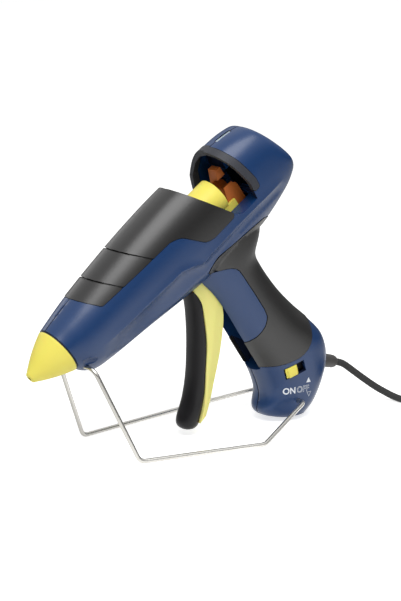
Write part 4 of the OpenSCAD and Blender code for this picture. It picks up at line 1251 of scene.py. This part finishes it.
    def build_boot(self) -> None:
        """Builds the strain relief, a short collar with a rounded end."""
        bore, end, r = self.cord_d / 2 + self.boot_play, STANCE.boot_len, self.boot_r
        nose = [(end - 2.6, r - 0.4), (end - 1.7, r - 0.6), (end - 1.0, r - 0.85), (end - 0.4, r - 1.15),
                (end, STANCE.boot_end_r - 0.15)]
        neck = self.neck_r
        profile = [(-9, bore), (-9, neck + 1.8), (-5, neck + 1.8), (-5, neck), (1, neck), (1, r - 0.3),
                   (1.3, r), (4.4, r - 0.1), *nose, (end, bore)]
        boot = spun(profile, STANCE.lead_matrix, self.boot_around)
        settled("strain_relief_collar", boot, Finishes.COLLAR, Body.HOUSING, ["strain_relief"])


@dataclass
class Studio:
    """The pale floor, the soft light and the camera of the photograph."""

    camera_at: Triple = (-0.6841, -0.9897, 0.3657)
    looking_at: Triple = (-0.0132, -0.0309, 0.1000)
    lens: float = 111.4
    sensor: float = 36.0
    clip: Pair = (0.05, 20.0)
    floor_half: float = 4.0
    floor_colour: Colour = (0.86, 0.86, 0.85, 1.0)
    floor_seen: float = 0.68
    # Painted reflection: in reflections only, the floor glows in a bright patch to the front right, and a
    # painted shadow dims that glow around the base's foot; each is a middle, two strengths and two distances
    floor_painted_glow: tuple[Triple, Pair, Pair] = ((0.18, -0.12, 0.0), (1.0, 0.02), (0.18, 0.36))
    floor_painted_shadow: tuple[Triple, Pair, Pair] = ((0.064, -0.045, 0.0), (0.1, 1.0), (0.02, 0.05))
    sky_ends: Pair = (0.03, 1.0)
    sky_span: Pair = (0.1, 0.6)
    fill: float = 0.38

    def build(self) -> None:
        """Builds the stage."""
        scene = bpy.context.scene
        scene.view_settings.view_transform = "Standard"
        data = bpy.data.cameras.new("camera")
        data.lens, data.sensor_width = self.lens, self.sensor
        data.clip_start, data.clip_end = self.clip
        scene.camera = self.aimed("camera", data, self.camera_at, self.looking_at)
        self.build_floor()
        self.build_world(scene)
        self.lamp("key_softbox", at=(-0.26, -0.52, 1.1), to=(0.0, 0.0, 0.12), size=(0.95, 0.85), power=11.8)
        self.lamp("back_softbox", at=(-0.15, 1.25, 0.52), to=(0.0, 0.0, 0.1), size=(0.9, 0.4), power=1.5)

    @staticmethod
    def aimed(name: str, data: ID, at: Triple, to: Triple) -> Object:
        """Adds a camera or a lamp.

        Args:
            name: Its name.
            data: What it is.
            at: Where it stands.
            to: Where it points.

        Returns:
            The camera or lamp.
        """
        made = linked(name, data)
        made.location = at
        made.rotation_euler = (Vector(to) - Vector(at)).to_track_quat("-Z", "Y").to_euler()
        return made

    def build_floor(self) -> None:
        """Builds the floor, white to the camera where nothing shades it, with a painted bright patch and a
        painted shadow in its reflections.
        """
        mesh = bmesh.new()
        bmesh.ops.create_grid(mesh, x_segments=1, y_segments=1, size=self.floor_half)
        data = bpy.data.meshes.new("floor")
        mesh.to_mesh(data)
        mesh.free()
        made = bpy.data.materials.new("pale_floor")
        made.use_nodes = True
        tree = made.node_tree
        tree.nodes.clear()
        place = added(tree, "ShaderNodeTexCoord").outputs["Object"]
        shares = {}
        # Painted highlight and painted shadow in the floor's reflected glow, by distance from their middles
        for slot, (middle, ends, span) in enumerate((self.floor_painted_glow, self.floor_painted_shadow)):
            far = added(tree, "ShaderNodeVectorMath", {0: place, 1: middle}, "DISTANCE")
            shares[slot] = ranged(tree, far.outputs["Value"], ends, span)
        mirrored = added(tree, "ShaderNodeMath", shares, "MULTIPLY").outputs[0]
        plain = added(tree, "ShaderNodeBsdfDiffuse", {"Color": self.floor_colour})
        strength = background_share(tree, self.floor_seen, mirrored)
        light = added(tree, "ShaderNodeEmission", {"Strength": strength})
        both = added(tree, "ShaderNodeAddShader", {0: plain.outputs[0], 1: light.outputs[0]})
        added(tree, "ShaderNodeOutputMaterial", {"Surface": both.outputs[0]})
        data.materials.append(made)
        floor = linked("floor", data)

    def build_world(self, scene: Scene) -> None:
        """Sets an even surround, white to the camera and brighter above in reflections.

        Args:
            scene: The scene that it belongs to.
        """
        world = bpy.data.worlds.new("surround")
        scene.world = world
        world.use_nodes = True
        tree = world.node_tree
        place = added(tree, "ShaderNodeTexCoord").outputs["Generated"]
        up = added(tree, "ShaderNodeSeparateXYZ", {0: place}).outputs["Z"]
        seen = background_share(tree, 1.0, ranged(tree, up, self.sky_ends, self.sky_span))
        diffuse = added(tree, "ShaderNodeLightPath").outputs["Is Diffuse Ray"]
        total = added(tree, "ShaderNodeMath", {0: diffuse, 1: self.fill, 2: seen}, "MULTIPLY_ADD")
        added(tree, "Background", {"Color": (1.0, 1.0, 1.0, 1.0), "Strength": total.outputs[0]})

    def lamp(self, name: str, at: Triple, to: Triple, size: Pair, power: float) -> None:
        """Adds a soft rectangular lamp.

        Args:
            name: The lamp's name.
            at: Where it stands.
            to: Where it points.
            size: Its width and height in metres.
            power: Its power in watts.
        """
        data = bpy.data.lights.new(name, "AREA")
        data.shape = "RECTANGLE"
        data.size, data.size_y = size
        data.energy = power
        self.aimed(name, data, at, to)


def background_share(tree: NodeTree, seen: float, mirrored: NodeSocket) -> NodeSocket:
    """How bright a background is to the camera and in reflections.

    Args:
        tree: The background's nodes.
        seen: Its strength to the camera.
        mirrored: Its strength in reflections and through glass.

    Returns:
        The strength, 0 for all other light.
    """
    path = added(tree, "ShaderNodeLightPath").outputs
    bounces = {0: path["Is Glossy Ray"], 1: path["Is Transmission Ray"]}
    either = added(tree, "ShaderNodeMath", bounces, "MAXIMUM")
    share = added(tree, "ShaderNodeMath", {0: either.outputs[0], 1: mirrored}, "MULTIPLY")
    inputs = {0: path["Is Camera Ray"], 1: seen, 2: share.outputs[0]}
    return added(tree, "ShaderNodeMath", inputs, "MULTIPLY_ADD").outputs[0]


def dress_plain_nodes() -> None:
    """Gives each CAD node that stays its finish."""
    for finish, nodes in PLAIN_NODES.items():
        for node in nodes:
            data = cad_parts[node].data
            data.materials.clear()
            data.materials.append(finish.material())
            log.info("%s: %s", node, finish.name)


def main() -> None:
    """Builds the applicator's pieces in order."""
    logging.basicConfig(level=logging.INFO, format="%(name)s %(message)s")
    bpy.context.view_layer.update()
    Studio().build()
    Lead().build()
    housing = Housing()
    for part in (housing, Nose(housing), Feed(), Trigger(), Switch(housing), WireStand(housing)):
        part.build()
    dress_plain_nodes()


if __name__ == "__main__":
    main()
